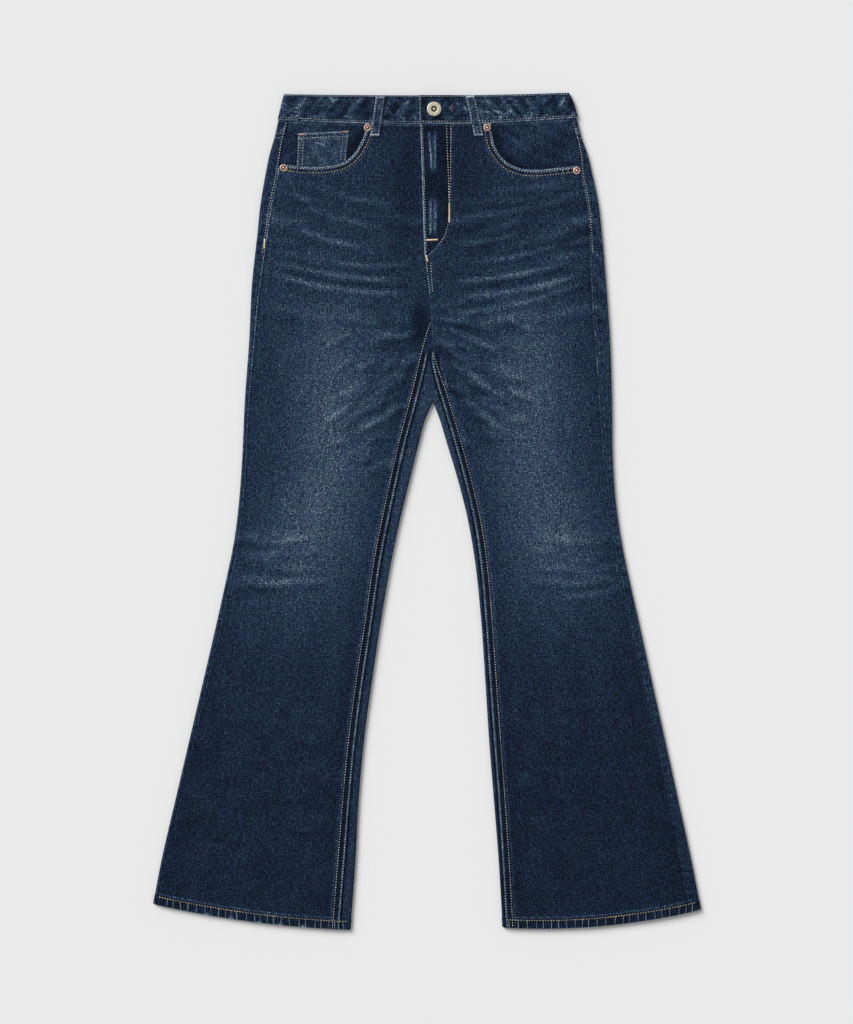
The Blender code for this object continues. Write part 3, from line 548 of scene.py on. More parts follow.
def roping(place_along, pitch, seed):
    """Light and dark bars where a turned or felled edge has twisted and worn, -1 to 1."""
    drift = 1.1 * np.sin(place_along / 37.0 + seed) + 0.7 * np.sin(place_along / 17.0 + 2 * seed)
    strength = 0.65 + 0.35 * np.sin(place_along / 23.0 + 3 * seed)
    return strength * np.sin(2 * math.pi * place_along / pitch + drift)


def opening_distance(leg, out, drop):
    """Distance from a place to the pocket opening's edge, and how far along the opening it is."""
    outs, drops = opening_point(leg, np.linspace(0, 1, 90))
    away = np.hypot(out[..., None] - outs, drop[..., None] - drops)
    return away.min(-1), away.argmin(-1) / 89.0


def light_bars(place_along, pitch, seed):
    return np.maximum(roping(place_along, pitch, seed), 0.0)


def hem_bars(out, hem_up, seed):
    """Thin slanting light lines across a twisted hem, 0 to 1."""
    return light_bars(out - 0.35 * hem_up, 9.6, seed) ** 2


def outseam_fade(drop):
    """How much of the outseam's worn line is left: plain at the hip, faint at the hem."""
    return np.interp(drop, (30, 190, 320, 400, 600, 1090), (1.0, 0.9, 0.85, 0.6, 0.42, 0.16))


def front_wear(leg, out, drop, hem_up):
    _, rub_and_crease_shade = creases(leg, out, drop)
    wear = spline(FRONT_RUB, "share", drop) + patches(leg, out, drop) + 0.40 * rub_and_crease_shade + wrinkles(leg, out, drop)
    side = outseam(leg, drop) - out
    wear += lines_at(side, (0.50, 0.7, 0.9), (-0.14, 2.4, 1.2)) * outseam_fade(drop) - 0.04 * bell(side, 28)
    seam = out - inseam(leg, drop)
    band = smooth((FELL_WIDTH + 0.4 - seam) / 1.2) * smooth((seam - 3.4) / 1.2)
    # The dark line at the seam itself is painted shadow in the seam's groove; the light line beside it is the
    # worn folded edge.
    felled = lines_at(seam, (0.52, 2.4, 1.4), (-0.40, 0, 1.0), (0.20, FELL_WIDTH + 1.9, 1.3), (-0.04, 18, 10))
    felled += 0.08 * roping(drop + 0.8 * seam, 7.6, 0.4) * bell(seam - 5.2, 3.0) - 0.30 * band
    wear += smooth((drop - CROTCH_DROP - 4) / 8) * felled
    waist = drop - row_drop(leg, waist_row(leg, 0.0), out)
    wear += lines_at(waist, (0.26, 1.8, 1.2), (-0.08, 5.5, 3))
    away, along = opening_distance(leg, out, drop)
    bars = (0.75 * bell(along - 0.80, 0.07) + 0.10) * smooth((along - 0.3) / 0.3) * light_bars(out, 5.8, 0.9)
    turned = lines_at(away, (0.62, 0.9, 1.35), (-0.14, 5.2, 2.2), (0.13, 10.6, 1.4))
    turned += bars * bell(away - 5.2, 2.0)
    wear += np.where(drop < OPENING_END_DROP, turned, 0.0)
    hem = smooth((HEM_WIDTH + 1.6 - hem_up) / 1.6)
    wear += hem * (-0.07 + 0.14 * hem_bars(out, hem_up, 0.2 * leg.sign))
    wear += 0.44 * bell(hem_up - HEM_WIDTH - 1.9, 1.0) * (0.75 + 0.35 * roping(out, 9.6, 0.2 * leg.sign))
    wear += 0.22 * bell(hem_up - 0.4, 1.0) * (0.6 + 0.6 * roping(out, 9.5, 1.3))
    if leg is RIGHT:
        for fray in HEM_FRAYS:
            wear += 0.85 * bell(out - fray, 2.8) * bell(hem_up - 0.8, 2.0)
    if leg is LEFT:
        wear += fly_wear(out, drop)
    return wear


def fly_wear(out, drop):
    """Dark fly with two lines rubbed by the closure under it, and a worn centre seam below."""
    edge = out - spline(CENTRE, "front", drop)
    stitch = np.interp(drop, (38, 144, 166, 185, 198, 212), (31.0, 29.4, 28.4, 23.0, 13.0, 0.0))
    inside = smooth((stitch - out + 1.0) / 2.0) * smooth((FLY_END_DROP - drop) / 3)
    window = smooth((drop - 46) / 8) * smooth((104 - drop) / 10)
    window = window + smooth((drop - 132) / 8) * smooth((186 - drop) / 10)
    broken = 0.75 + 0.25 * np.sin(drop / 2.7) * np.sin(drop / 7.3 + out)
    first = np.interp(drop, (50, 98, 134, 186), (1.4, 5.2, 3.4, 3.4)) + 1.0
    rubbed = 0.80 * broken * (bell(out - first, 1.4) + 0.8 * bell(out - 10.6, 1.9))
    rubbed += 0.16 * bell(out - 6.0, 4.5)
    upper = smooth((218 - drop) / 8)
    return (
        inside * (window * rubbed - 0.17)
        + 0.12 * bell(out - stitch - 1.8, 1.6) * smooth((205 - drop) / 20)
        + (0.14 + 0.80 * upper) * bell(edge - 0.9, 1.1) * smooth((CROTCH_DROP + 2 - drop) / 6)
        - 0.16 * bell(edge - 2.6, 1.3) * upper)


def wrap_wear(leg, out, drop, upper, hem_up):
    """Wear of a back: its strips on the upper side, its folds and its underside."""
    wear = spline(BACK_RUB, "share", drop) + np.where(upper > 0, 0.0, 0.05)
    side = out - outseam(leg, drop)
    strip = outseam_fade(drop) * lines_at(side, (0.12, 2.7, 0.9), (-0.06, 4.6, 1.4))
    strip += 0.40 * bell(drop - 46, 3.6) * bell(side - 3.0, 2.6) - 0.02 - 0.16 * bell(side - 0.3, 0.8)
    strip += wrinkles(leg, 230 - side * 6, drop) + 0.14 * roping(drop, 11.0, 2.2) * bell(side - 6.0, 4.0)
    wear += np.where((upper > 0) & (side > -1), strip, 0.0)
    seam = inseam(leg, drop) - out
    inner_strip = (upper > 0) & (seam > -1) & (drop > STRIP_DROP - 1)
    # Painted shadow: a dark line along the inseam groove at the strip's edge.
    wear += np.where(inner_strip, 0.06 - 0.50 * bell(seam, 1.5), 0.0)
    wear += 0.10 * bell(outer_edge(leg, drop) - out, 2.4)
    wear += np.where(upper > 0, 0.0, 0.14 * bell(drop - 210, 95) * bell(out - 105, 60))
    hem = smooth((HEM_WIDTH + 1.0 - hem_up) / 1.6)
    wear += hem * (-0.07 + 0.20 * hem_bars(out, hem_up, 0.5 * leg.sign))
    wear += 0.20 * bell(hem_up - 0.4, 1.2)
    return wear


# Panels


def front_panel(leg):
    rows = panel_rows(leg)
    row = tuple(np.array(values) for values in zip(*rows))
    shares = np.arange(OPENING_ROWS) / OPENING_ROWS
    outs, drops = opening_point(leg, shares)
    inner_drops = lerp(WAIST_SEAM_DROP + SEAM_GAP, rows[0][1], shares ** 1.15)

    def inner_border(drop):
        border = centre_front(leg, drop) + HALF_GAP
        if leg is RIGHT:
            share = smooth((FLY_END_DROP - drop) / 20.0)
            border = border - (FLY_LAP + border - HALF_GAP) * share
        return np.where(np.asarray(drop) > CROTCH_DROP, inseam(leg, drop) + HALF_GAP, border)

    start = on_row(leg, row, lambda drop: outseam(leg, drop)) - HALF_GAP
    start = np.concatenate((outs, start))[:, None]
    end = np.concatenate((inner_border(inner_drops), on_row(leg, row, inner_border)))[:, None]
    width = start - end
    near = np.array((0.0, 0.35, 1.1, 2.6, 5.0, 8.2))
    far = np.concatenate((np.linspace(FINE_WIDTH, 1.2, FINE_COLUMNS), (0.7, 0.3, 0.0)))
    far = far * np.minimum(1.0, 0.55 * width / far[0])
    count = round(140 / COLUMN_STEP)
    middle = near[-1] + (width - near[-1] - far[:, :1]) * np.arange(1, count) / count
    insets = np.concatenate((np.broadcast_to(near, (len(width), len(near))), middle, width - far), 1)
    out = start - insets
    top, below = slice(0, OPENING_ROWS), slice(OPENING_ROWS, None)
    drop = np.empty(out.shape)
    drop[top] = lerp(drops[:, None], inner_drops[:, None], insets[top] / width[top])
    drop[0] = row_drop(leg, waist_row(leg, SEAM_GAP), out[0])
    columns = tuple(values[:, None] for values in row)
    drop[below] = row_drop(leg, columns, out[below])
    hem_up = np.full(out.shape, NO_HEM)
    hem_up[below] = leg.hem_outer - columns[0]
    base = front_height(leg, out, drop)
    felled = smooth((insets - (width - FELL_WIDTH - 1.0)) / 0.7)
    hemmed = hem_turn(hem_up)
    puckers = roping(drop, 7.2, 0.4) * bell(out - inseam(leg, drop) - 4.5, 4.0) * smooth((drop - 345) / 20)
    twist = roping(out - 1.1 * hem_up, 7.0, 0.2 * leg.sign) * hemmed * smooth(hem_up / 3.0)
    away, _ = opening_distance(leg, out, drop)
    turned = smooth((9.4 - away) / 1.2) * np.where(drop < OPENING_END_DROP, TURNED_RISE, 0.0)
    height = base + front_fell(leg, drop) * felled + HEM_RISE * hemmed + 0.16 * (puckers + twist) + turned
    height -= rounded(np.minimum(np.minimum(insets, width - insets), hem_up))
    wear = front_wear(leg, out, drop, hem_up)
    grain = np.stack((leg.sign * (out - 60 - 0.19 * np.maximum(drop - 300, 0)), drop), -1)
    return cloth_piece(
        leg.name + "_front", place(leg, out, drop, height), place(leg, out, drop, base - WALL), wear, grain)


def wrap_grid(leg, rows, folded, stripped):
    """Grids round a back or a yoke: upper strip, side fold, underside, inner fold, upper strip."""
    row = tuple(np.array(values, float)[:, None] for values in zip(*rows))
    folded, stripped = folded[:, None], stripped[:, None]
    radius = EDGE_HEIGHT / 2
    inner_radius = radius - WALL
    edge = outer_edge(leg, row[0])
    seam = on_row(leg, row, lambda drop: outseam(leg, drop)) + HALF_GAP
    seat = on_row(leg, row, lambda drop: centre_back(leg, drop)) + HALF_GAP
    upper_seam = on_row(leg, row, lambda drop: inseam(leg, drop)) - HALF_GAP
    hem_up = leg.hem_outer - row[0]
    hem_rise = HEM_RISE * hem_turn(hem_up)
    trim = rounded(hem_up)
    swollen = radius + 0.4 * hem_rise - trim
    arc_centre = edge - radius
    fold = inner_edge(leg, row[1])
    last = np.where(folded, fold + radius, seat)
    columns = []

    def add(out, top, bottom, upper, drop=None, inner_out=None, span=None):
        drop = row_drop(leg, row, out) if drop is None else drop
        inner_out = out if inner_out is None else inner_out
        span = out if span is None else span
        parts = (out, top, inner_out, bottom, drop, upper, span)
        columns.append([np.broadcast_to(part, edge.shape) for part in parts])

    def add_strip(start, end, parts):
        for share, round_off in parts:
            out = lerp(start, end, share)
            base = flat_height(leg, out, row_drop(leg, row, out))
            add(out, base + hem_rise - trim - round_off, base - WALL, 1.0)

    add_strip(seam, arc_centre, OUTER_STRIP)
    for step in range(ARC_STEPS + 1):
        angle = math.pi * (0.5 - step / ARC_STEPS)
        across, rise = math.cos(angle), math.sin(angle)
        add(
            arc_centre + across * swollen,
            radius + rise * radius + hem_rise * (step == 0) - trim * (rise > -0.9) * rise,
            radius + rise * inner_radius + hem_rise * (step == ARC_STEPS),
            1.0 if step < ARC_STEPS / 2 else 0.0,
            row_drop(leg, row, edge), arc_centre + across * inner_radius,
            arc_centre + radius * (math.pi / 2 - angle))
    for step in range(1, BOTTOM_COLUMNS + 1):
        add(lerp(arc_centre, last, step / BOTTOM_COLUMNS), 0.0, WALL + hem_rise, 0.0)
    seat_height = flat_height(leg, seat, row_drop(leg, row, seat))
    fold_drop = np.where(folded, row_drop(leg, row, fold), row_drop(leg, row, last))
    for step in range(1, ARC_STEPS + 1):
        angle = math.pi * (step / ARC_STEPS - 0.5)
        across, rise = math.cos(angle), math.sin(angle)
        ending = step == ARC_STEPS
        add(
            np.where(folded, last - across * swollen, last),
            np.where(folded, radius + rise * radius + hem_rise * ending, seat_height if ending else 0.0),
            np.where(folded, radius + rise * inner_radius, seat_height - WALL if ending else WALL + hem_rise),
            1.0 if step > ARC_STEPS / 2 else 0.0,
            fold_drop, np.where(folded, last - across * inner_radius, last),
            last - radius * (angle + math.pi / 2))
    add_strip(last, np.where(stripped, upper_seam, last), INNER_STRIP)
    out, top, inner_out, bottom, drop, upper, span = (np.concatenate(values, 1) for values in zip(*columns))
    wear = wrap_wear(leg, out, drop, upper, np.broadcast_to(hem_up, out.shape))
    grain = np.stack((leg.sign * (span + 40 * (1 - upper)), drop), -1)
    return place(leg, out, drop, top), place(leg, inner_out, drop, bottom), wear, grain


def back_panel(leg):
    rows = panel_rows(leg)
    below_yoke = (YOKE_OUTER_DROP + HALF_GAP, YOKE_INNER_DROP + HALF_GAP, 0.0)
    rows = rows_between(below_yoke, rows[0], BELOW_YOKE_ROWS) + rows
    inner = np.array([row[1] for row in rows])
    folded, stripped = inner >= FOLD_DROP, inner >= STRIP_DROP
    grids = wrap_grid(leg, rows, folded, stripped)
    keep = np.ones((len(rows) - 1, grids[0].shape[1] - 1), bool)
    keep[~folded[:-1], FOLD_START:FOLD_START + ARC_STEPS] = False
    keep[~stripped[:-1], FOLD_START + ARC_STEPS:] = False
    return cloth_piece(leg.name + "_back", *grids, keep)


def back_yoke(leg):
    foot = (YOKE_OUTER_DROP - HALF_GAP, YOKE_INNER_DROP - HALF_GAP, 0.0)
    rows = rows_between(waist_row(leg, SEAM_GAP), foot, YOKE_ROWS) + [foot]
    never = np.zeros(len(rows), bool)
    outer, inner, wear, grain = (grid[:, :FOLD_START + 1] for grid in wrap_grid(leg, rows, never, never))
    return cloth_piece(leg.name + "_yoke_cloth", outer, inner, wear - 0.02, grain)


def grid_shares(rows, columns):
    """Shares down and across a grid."""
    return np.linspace(0, 1, rows + 1)[:, None], np.linspace(0, 1, columns + 1)[None, :]


def facing_height(leg, out, drop):
    return front_height(leg, out, drop) - WALL - SEAM_GAP


def pocket_facing(leg):
    t, s = grid_shares(34, 52)
    waist_end = opening_point(leg, 0.0)[0] - FACING_LAP
    waist_out = lerp(outseam(leg, leg.seam_end_drop) - HALF_GAP, waist_end, s)
    waist_drop = row_drop(leg, waist_row(leg, SEAM_GAP), waist_out)
    edge_out, edge_drop = opening_point(leg, 1 - s)
    out = lerp(waist_out, edge_out - FACING_LAP * s, t)
    drop = lerp(waist_drop, edge_drop + FACING_LAP * (1 - FACING_LIFT * s), t)
    out[:, 0] = outseam(leg, drop[:, 0]) - HALF_GAP
    height = facing_height(leg, out, drop)
    wear = 0.23 + 0.05 * np.sin(out / 17 + drop / 9) + 0.05 * np.sin(out / 5.3 - drop / 3.1)
    wear += 0.22 * bell(drop - waist_drop - 1.8, 1.3)
    away, along = opening_distance(leg, out, drop)
    # Painted shadow under the pocket opening's edge, deepest partway along it.
    wear -= (0.14 + 0.32 * bell(along - 0.38, 0.2)) * bell(away, 9.0)
    grain = np.stack((leg.sign * (out + 300), drop), -1)
    return cloth_piece(
        leg.name + "_facing", place(leg, out, drop, height), place(leg, out, drop, height - WALL), wear,
        grain)


def coin_pocket():
    t, s = grid_shares(26, 36)
    foot_out = lerp(COIN_OUTER.foot_out, COIN_INNER.foot_out, s)
    foot_drop = opening_drop(RIGHT, foot_out) - COIN_GAP
    out = lerp(lerp(COIN_OUTER.top_out, COIN_INNER.top_out, s), foot_out, t)
    drop = lerp(lerp(COIN_OUTER.top_drop, COIN_INNER.top_drop, s), foot_drop, t)
    low = facing_height(RIGHT, out, drop) + SEAM_GAP
    from_top = (foot_drop - drop[:1]) * t
    from_side = np.minimum(s, 1 - s) * COIN_WIDTH
    turned = 0.3 * smooth((8.0 - from_top) / 1.5)
    high = low + COIN_WALL + turned - rounded(np.minimum(from_top, from_side), 0.4)
    wear = 0.38 + 0.08 * np.sin(out / 5 + 0.4) * np.sin(drop / 4.3) + 0.05 * np.sin(out / 2.9 + drop / 5)
    wear += lines_at(from_top, (0.34, 1.0, 1.2), (-0.16, 4.6, 2.2), (0.20, 8.8, 1.2))
    wear += 0.24 * bell(from_side - 0.8, 1.2) + 0.30 * light_bars(out, 7.0, 0.4) * bell(from_top - 4.6, 2.6)
    scratch = (drop - 63) - 0.42 * (143 - out)
    wear += 0.55 * bell(scratch, 1.3) * smooth((147 - out) / 3) * smooth((out - 130) / 4)
    grain = np.stack((-(out + 500), drop), -1)
    return cloth_piece(
        "coin_pocket_cloth", place(RIGHT, out, drop, high), place(RIGHT, out, drop, low), wear, grain)


# Waistband and belt loops


def band_top_drop(x):
    return np.where(x < 0, lerp(1.5, 0.0, (x / 186.0) ** 2), lerp(1.5, -2.0, (x / 184.0) ** 2))


def band_foot_drop(x):
    ends = (outer_edge(leg, leg.seam_end_drop) for leg in LEGS)
    right, left = (
        lerp(WAIST_SEAM_DROP, leg.seam_end_drop, np.minimum(np.abs(x) / end, 1) ** 2)
        for leg, end in zip(LEGS, ends))
    return np.where(x < 0, right, left)


def pucker_rise(x, drop):
    share = (drop - WAIST_SEAM_DROP / 2) / WAIST_SEAM_DROP
    edge = smooth(3 * (0.5 - np.abs(share)))
    total = sum(p.rise * bell(x - p.x - p.lean * share, p.width) for p in PUCKERS)
    return edge * total


def fine_pucker(x, drop):
    """Small slanting puckers between the two stitched edges of the band, -1 to 1."""
    share = (drop - 18) / 36
    sway = 10 * np.sin(x / 61.0)
    first = np.sin((x - sway * share * 3) / 3.1 + 1.3 * np.sin(x / 19.0))
    second = np.sin((x + 17 * share) / 5.3 + 0.8)
    return (0.6 * first + 0.4 * second) * smooth(5 * (0.5 - np.abs(share)))


def puckers_on_band(x, drop):
    return pucker_rise(x, drop) + 0.13 * fine_pucker(x, drop)


def band_scuffs(x, drop):
    """Short slanting marks of rubbing on the band, at random, light with dark between."""
    random = np.random.default_rng(31)
    total = np.zeros(np.broadcast(x, drop).shape)
    for _ in range(230):
        middle = (random.uniform(-192, 192), random.uniform(5, 33))
        angle = random.choice((-1, 1)) * random.uniform(0.15, 1.1)
        half = random.uniform(4, 13)
        width = random.uniform(0.9, 1.9)
        share = random.uniform(0.08, 0.34) * random.choice((-0.8, 1.0))
        across, ends = rub_mark(x, drop, middle, angle, half)
        total += share * bell(across, width) * ends
    return total


def band_height(x, drop):
    """Outer height of the uppermost layer of the waistband."""
    lap = BAND_LAP_RISE * (1 - smooth((x - BAND_UNDER_END - 3) / BAND_LAP_RAMP))
    return BAND_TOP + np.where(x > BAND_LAP_END - 1, lap, 0.0) + puckers_on_band(x, drop)


def waistband():
    """Rows down the band, each from the lapped end round both side folds to the end that lies under it."""
    levels = np.concatenate((
        (0, 0.012, 0.03, 0.055), np.linspace(0.085, 0.915, 20), (0.945, 0.97, 0.988, 1.0)))
    arcs = np.radians(np.linspace(90, -90, BAND_TURN + 2)[1:-1])
    across, rise = np.cos(arcs), np.sin(arcs)
    radius = BAND_TOP / 2
    grids = []
    for level in levels:
        cut = rounded(min(level, 1 - level) * BAND_DEPTH, width=1.1)
        wall = BAND_WALL - 2 * cut
        inside = radius - cut - wall
        right, left = (outer_edge(leg, lerp(1.5, WAIST_SEAM_DROP, level)) - radius for leg in LEGS)
        lap_end = BAND_LAP_END + np.array((0, 0.4, 1.0))
        front = np.concatenate((lap_end, np.linspace(BAND_LAP_END + 2, left, BAND_FRONT - 3)))
        back = np.linspace(left, -right, BAND_BACK)
        under = np.linspace(-right, BAND_UNDER_END, BAND_UNDER)
        x = np.concatenate((front, left + radius * across, back, -right - radius * across, under))
        inner_x = np.concatenate((front, left + inside * across, back, -right - inside * across, under))
        drop = lerp(band_top_drop(x), band_foot_drop(x), level)
        lap = band_height(front, drop[:BAND_FRONT]) - cut
        lower = BAND_TOP + (under < BAND_LAP_END) * puckers_on_band(under, drop[-BAND_UNDER:]) - cut
        top = np.concatenate((
            lap - rounded(front - BAND_LAP_END), radius + (radius - cut) * rise, np.zeros(BAND_BACK),
            radius - (radius - cut) * rise, lower))
        bottom = np.concatenate((
            lap - wall, radius + inside * rise, np.full(BAND_BACK, BAND_WALL - cut),
            radius - inside * rise, lower - wall))
        from_top = level * BAND_DEPTH
        from_foot = BAND_DEPTH - from_top
        wear = 0.28 + 0.05 * np.sin(x / 43.0) + 0.17 * fine_pucker(x, drop) + band_scuffs(x, drop)
        wear += lines_at(from_top, (0.26, 0.5, 0.9), (-0.16, 2.4, 1.3)) - 0.18 * bell(from_foot - 3.1, 1.5)
        wear += (0.68 + 0.20 * np.sin(x / 23.0)) * bell(from_foot - 0.5, 1.0)
        wear += 0.38 * light_bars(x, 7.8, 1.1) ** 2 * bell(from_foot - 6.6, 2.4)
        wear += 0.26 * light_bars(x, 9.4, 2.3) ** 2 * bell(from_top - 5.4, 2.0)
        wear[:BAND_FRONT] += 0.40 * bell(front - BAND_LAP_END - 0.7, 0.9)
        wear[:BAND_FRONT] -= 0.13 * smooth((front + 12) / 4) * smooth((52 - front) / 8)
        grain = np.stack((drop + 40, x + 700), -1)
        grids.append((place_x(x, drop, top), place_x(inner_x, drop, bottom), wear, grain))
    return cloth_piece("waistband_cloth", *(np.stack(rows) for rows in zip(*grids)))


def surface_height(x, drop):
    """Height of whatever cloth is uppermost at a place on the front."""
    x, drop = np.broadcast_arrays(np.asarray(x, float), np.asarray(drop, float))
    right = front_height(RIGHT, -x, drop)
    left = front_height(LEFT, x, drop)
    cloth = np.where(x > spline(CENTRE, "front", drop), left, right)
    return np.where(drop < band_foot_drop(x) + HALF_GAP, band_height(x, drop), cloth)


def loop_base(loop, drop):
    """Underside of a belt loop, clear of the cloth that it crosses, and the rise of its turned ends."""
    t = (drop - loop.drop_top) / (loop.drop_foot - loop.drop_top)
    middle = lerp(loop.x_top, loop.x_foot, t)
    around = [
        surface_height(middle + share * LOOP_WIDTH, drop + shift)
        for share in (-0.5, 0, 0.5) for shift in (-1.5, 0, 1.5)]
    from_end = np.minimum(t, 1 - t) * (loop.drop_foot - loop.drop_top)
    low = np.max(np.stack(around), 0) + SEAM_GAP + LOOP_BOW * np.sin(math.pi * t) ** 2
    return low, 0.35 * smooth((7.5 - from_end) / 1.5)


def belt_loop(loop):
    t = (0, 0.008, 0.03, 0.08, 0.13, 0.2, 0.3, 0.4, 0.5, 0.6, 0.7, 0.8, 0.87, 0.92, 0.97, 0.992, 1.0)
    s = (-0.5, -0.47, -0.42, -0.34, -0.24, -0.12, 0, 0.12, 0.24, 0.34, 0.42, 0.47, 0.5)
    t, aside = np.array(t)[:, None], np.array(s)[None, :] * LOOP_WIDTH
    x = lerp(loop.x_top, loop.x_foot, t) + aside
    low, turned = loop_base(loop, lerp(loop.drop_top, loop.drop_foot, t))
    drop = np.broadcast_to(lerp(loop.drop_top, loop.drop_foot, t), x.shape)
    from_end = np.minimum(t, 1 - t) * (loop.drop_foot - loop.drop_top)
    from_side = LOOP_WIDTH / 2 - np.abs(aside)
    ridges = 0.16 * (bell(aside - 4.2, 0.9) + bell(aside + 4.2, 0.9))
    high = low + LOOP_WALL - rounded(np.minimum(from_end, from_side), 0.5) - ridges + turned
    wear = 0.36 + lines_at(from_side, (0.46, 0.5, 0.8), (-0.10, 2.0, 0.8))
    wear = wear + lines_at(from_end, (0.14, 7.5, 1.2), (0.55, 0.6, 0.9))
    wear += 0.16 * np.sin(drop / 2.3 + 0.8 * np.sin(drop / 5.7)) * bell(aside, 3)
    grain = np.stack((x + 900, drop), -1)
    return cloth_piece(loop.node + "_cloth", place_x(x, drop, high), place_x(x, drop, low), wear, grain)


# Stitching


def hem_line(leg, out):
    """Drop of the hem's edge at a distance out."""
    inside = np.clip(out, inner_edge(leg, leg.hem_inner), outer_edge(leg, leg.hem_outer))
    return row_drop(leg, hem_line_row(leg, 0.0), inside)


def seam_height(x, drop):
    """Surface height with the felled seams and hems that a row of stitches crosses."""
    height = surface_height(x, drop)
    for leg in LEGS:
        out = leg.sign * x
        on_leg = out > centre_front(leg, np.minimum(drop, FOLD_DROP - 1))
        width_in = out - np.where(drop > CROTCH_DROP, inseam(leg, drop), centre_front(leg, drop))
        felled = on_leg & (width_in > 0) & (width_in < FELL_WIDTH + 0.6)
        away, _ = opening_distance(leg, out, drop)
        turned = (away < 9.0) & (drop < OPENING_END_DROP) & (drop > 38) & (out > 60)
        turned = turned & (drop > opening_drop(leg, out))
        hemmed = (out > outer_edge(leg, drop) * 0.2) & (hem_line(leg, out) - drop < HEM_WIDTH)
        height = height + front_fell(leg, drop) * felled + TURNED_RISE * turned + HEM_RISE * hemmed
    return height


def run_line(places, lift=0.12):
    """Path of a row of stitches through (x, drop) places, laid on the cloth."""
    places = np.array(places, float)
    gaps = np.hypot(*np.diff(places, axis=0).T)
    along = np.concatenate(((0,), np.cumsum(gaps)))
    steps = np.linspace(0, along[-1], max(2, int(along[-1] / 4) + 1))
    x = np.interp(steps, along, places[:, 0])
    drop = np.interp(steps, along, places[:, 1])
    return place_x(x, drop, seam_height(x, drop) + lift)


def line_at(places, height):
    """Path of a row of stitches at the height that a function gives for x and drop."""
    points = run_line(places)
    points[:, 2] = height(points[:, 0] / MM, WAIST_TO_CENTRE - points[:, 1] / MM) * MM
    return points


def under_line(places):
    return line_at(places, lambda x, drop: -0.05)


def coin_line(places):
    return line_at(places, lambda x, drop: facing_height(RIGHT, -x, drop) + SEAM_GAP + COIN_WALL + 0.2)


def loop_line(loop, places):
    return line_at(places, lambda x, drop: sum(loop_base(loop, drop)) + LOOP_WALL + 0.02)


def offset_opening(leg, away):
    """Places a given distance below the pocket opening's edge."""
    out, drop = opening_point(leg, np.linspace(0.015, 0.985, 40))
    d_out, d_drop = np.gradient(out), np.gradient(drop)
    size = np.hypot(d_out, d_drop)
    return np.stack((leg.sign * (out - away * d_drop / size), drop + away * d_out / size), -1)


def down_seam(leg, border, start, end, shift):
    drops = np.linspace(start, end, max(3, int((end - start) / 12)))
    return [(leg.sign * (border(leg, drop) + shift), drop) for drop in drops]


def strip_line(leg, start, end, shift):
    """Row of stitches on the back's upper strip, beside the outseam."""
    places = down_seam(leg, outseam, start, end, shift)
    return line_at(places, lambda x, drop: flat_height(leg, leg.sign * x, drop) + 0.1)


def strip_bar(leg, drop):
    """Row of stitches across the upper strip, along the yoke seam."""
    start, end = outseam(leg, drop) + 1.0, outer_edge(leg, drop) - 1.6
    places = [(leg.sign * start, drop), (leg.sign * end, drop + 0.4)]
    return line_at(places, lambda x, drop: EDGE_HEIGHT + 0.12)


def beside_centre(side, shift, start, end, count):
    """Places beside the centre seam, front or back."""
    return [(spline(CENTRE, side, drop) + shift, drop) for drop in np.linspace(start, end, count)]


def band_row(start, end, edge, below):
    return [(x, edge(x) + below) for x in np.linspace(start, end, 40)]


def hem_row(leg):
    row = hem_line_row(leg, HEM_WIDTH - 1.6)
    outs = lerp(outer_edge(leg, row[0]) - 2.0, inner_edge(leg, row[1]) + 2.0, np.linspace(0.02, 0.98, 40))
    return [(leg.sign * out, row_drop(leg, row, out)) for out in outs]


def yoke_row(leg, above):
    return [
        (leg.sign * out, lerp(YOKE_OUTER_DROP, YOKE_INNER_DROP, 1 - out / 198.0) - above)
        for out in (4, 60, 120, 194)]


def coin_side(side, inset):
    inward = side.inward * inset
    foot_drop = opening_drop(RIGHT, side.foot_out) - 2.0
    return [(-side.top_out + inward, side.top_drop + 1.5), (-side.foot_out + inward, foot_drop)]


def on_loop(loop, t, shift=0.0):
    return lerp(loop.x_top, loop.x_foot, t) + shift, lerp(loop.drop_top, loop.drop_foot, t)


FLY_STITCH = (
    (25.4, 38.5), (26.4, 73), (28.0, 109), (28.6, 146), (28.4, 166), (23.2, 185), (14.0, 198), (1.5, 210.6))
FLY_OUTER_STITCH = ((31.3, 38.5), (30.9, 73), (30.7, 100), (29.6, 122), (29.5, 142))

# The upper ends of the inseams' outer rows, out and drop
FELL_ROWS = {
    "right": ((-4.4, 298), (-0.6, 308), (5.7, 330), (12.0, 357)),
    "left": ((8.2, 338), (11.4, 348), (14.6, 358), (19.5, 372)),
}


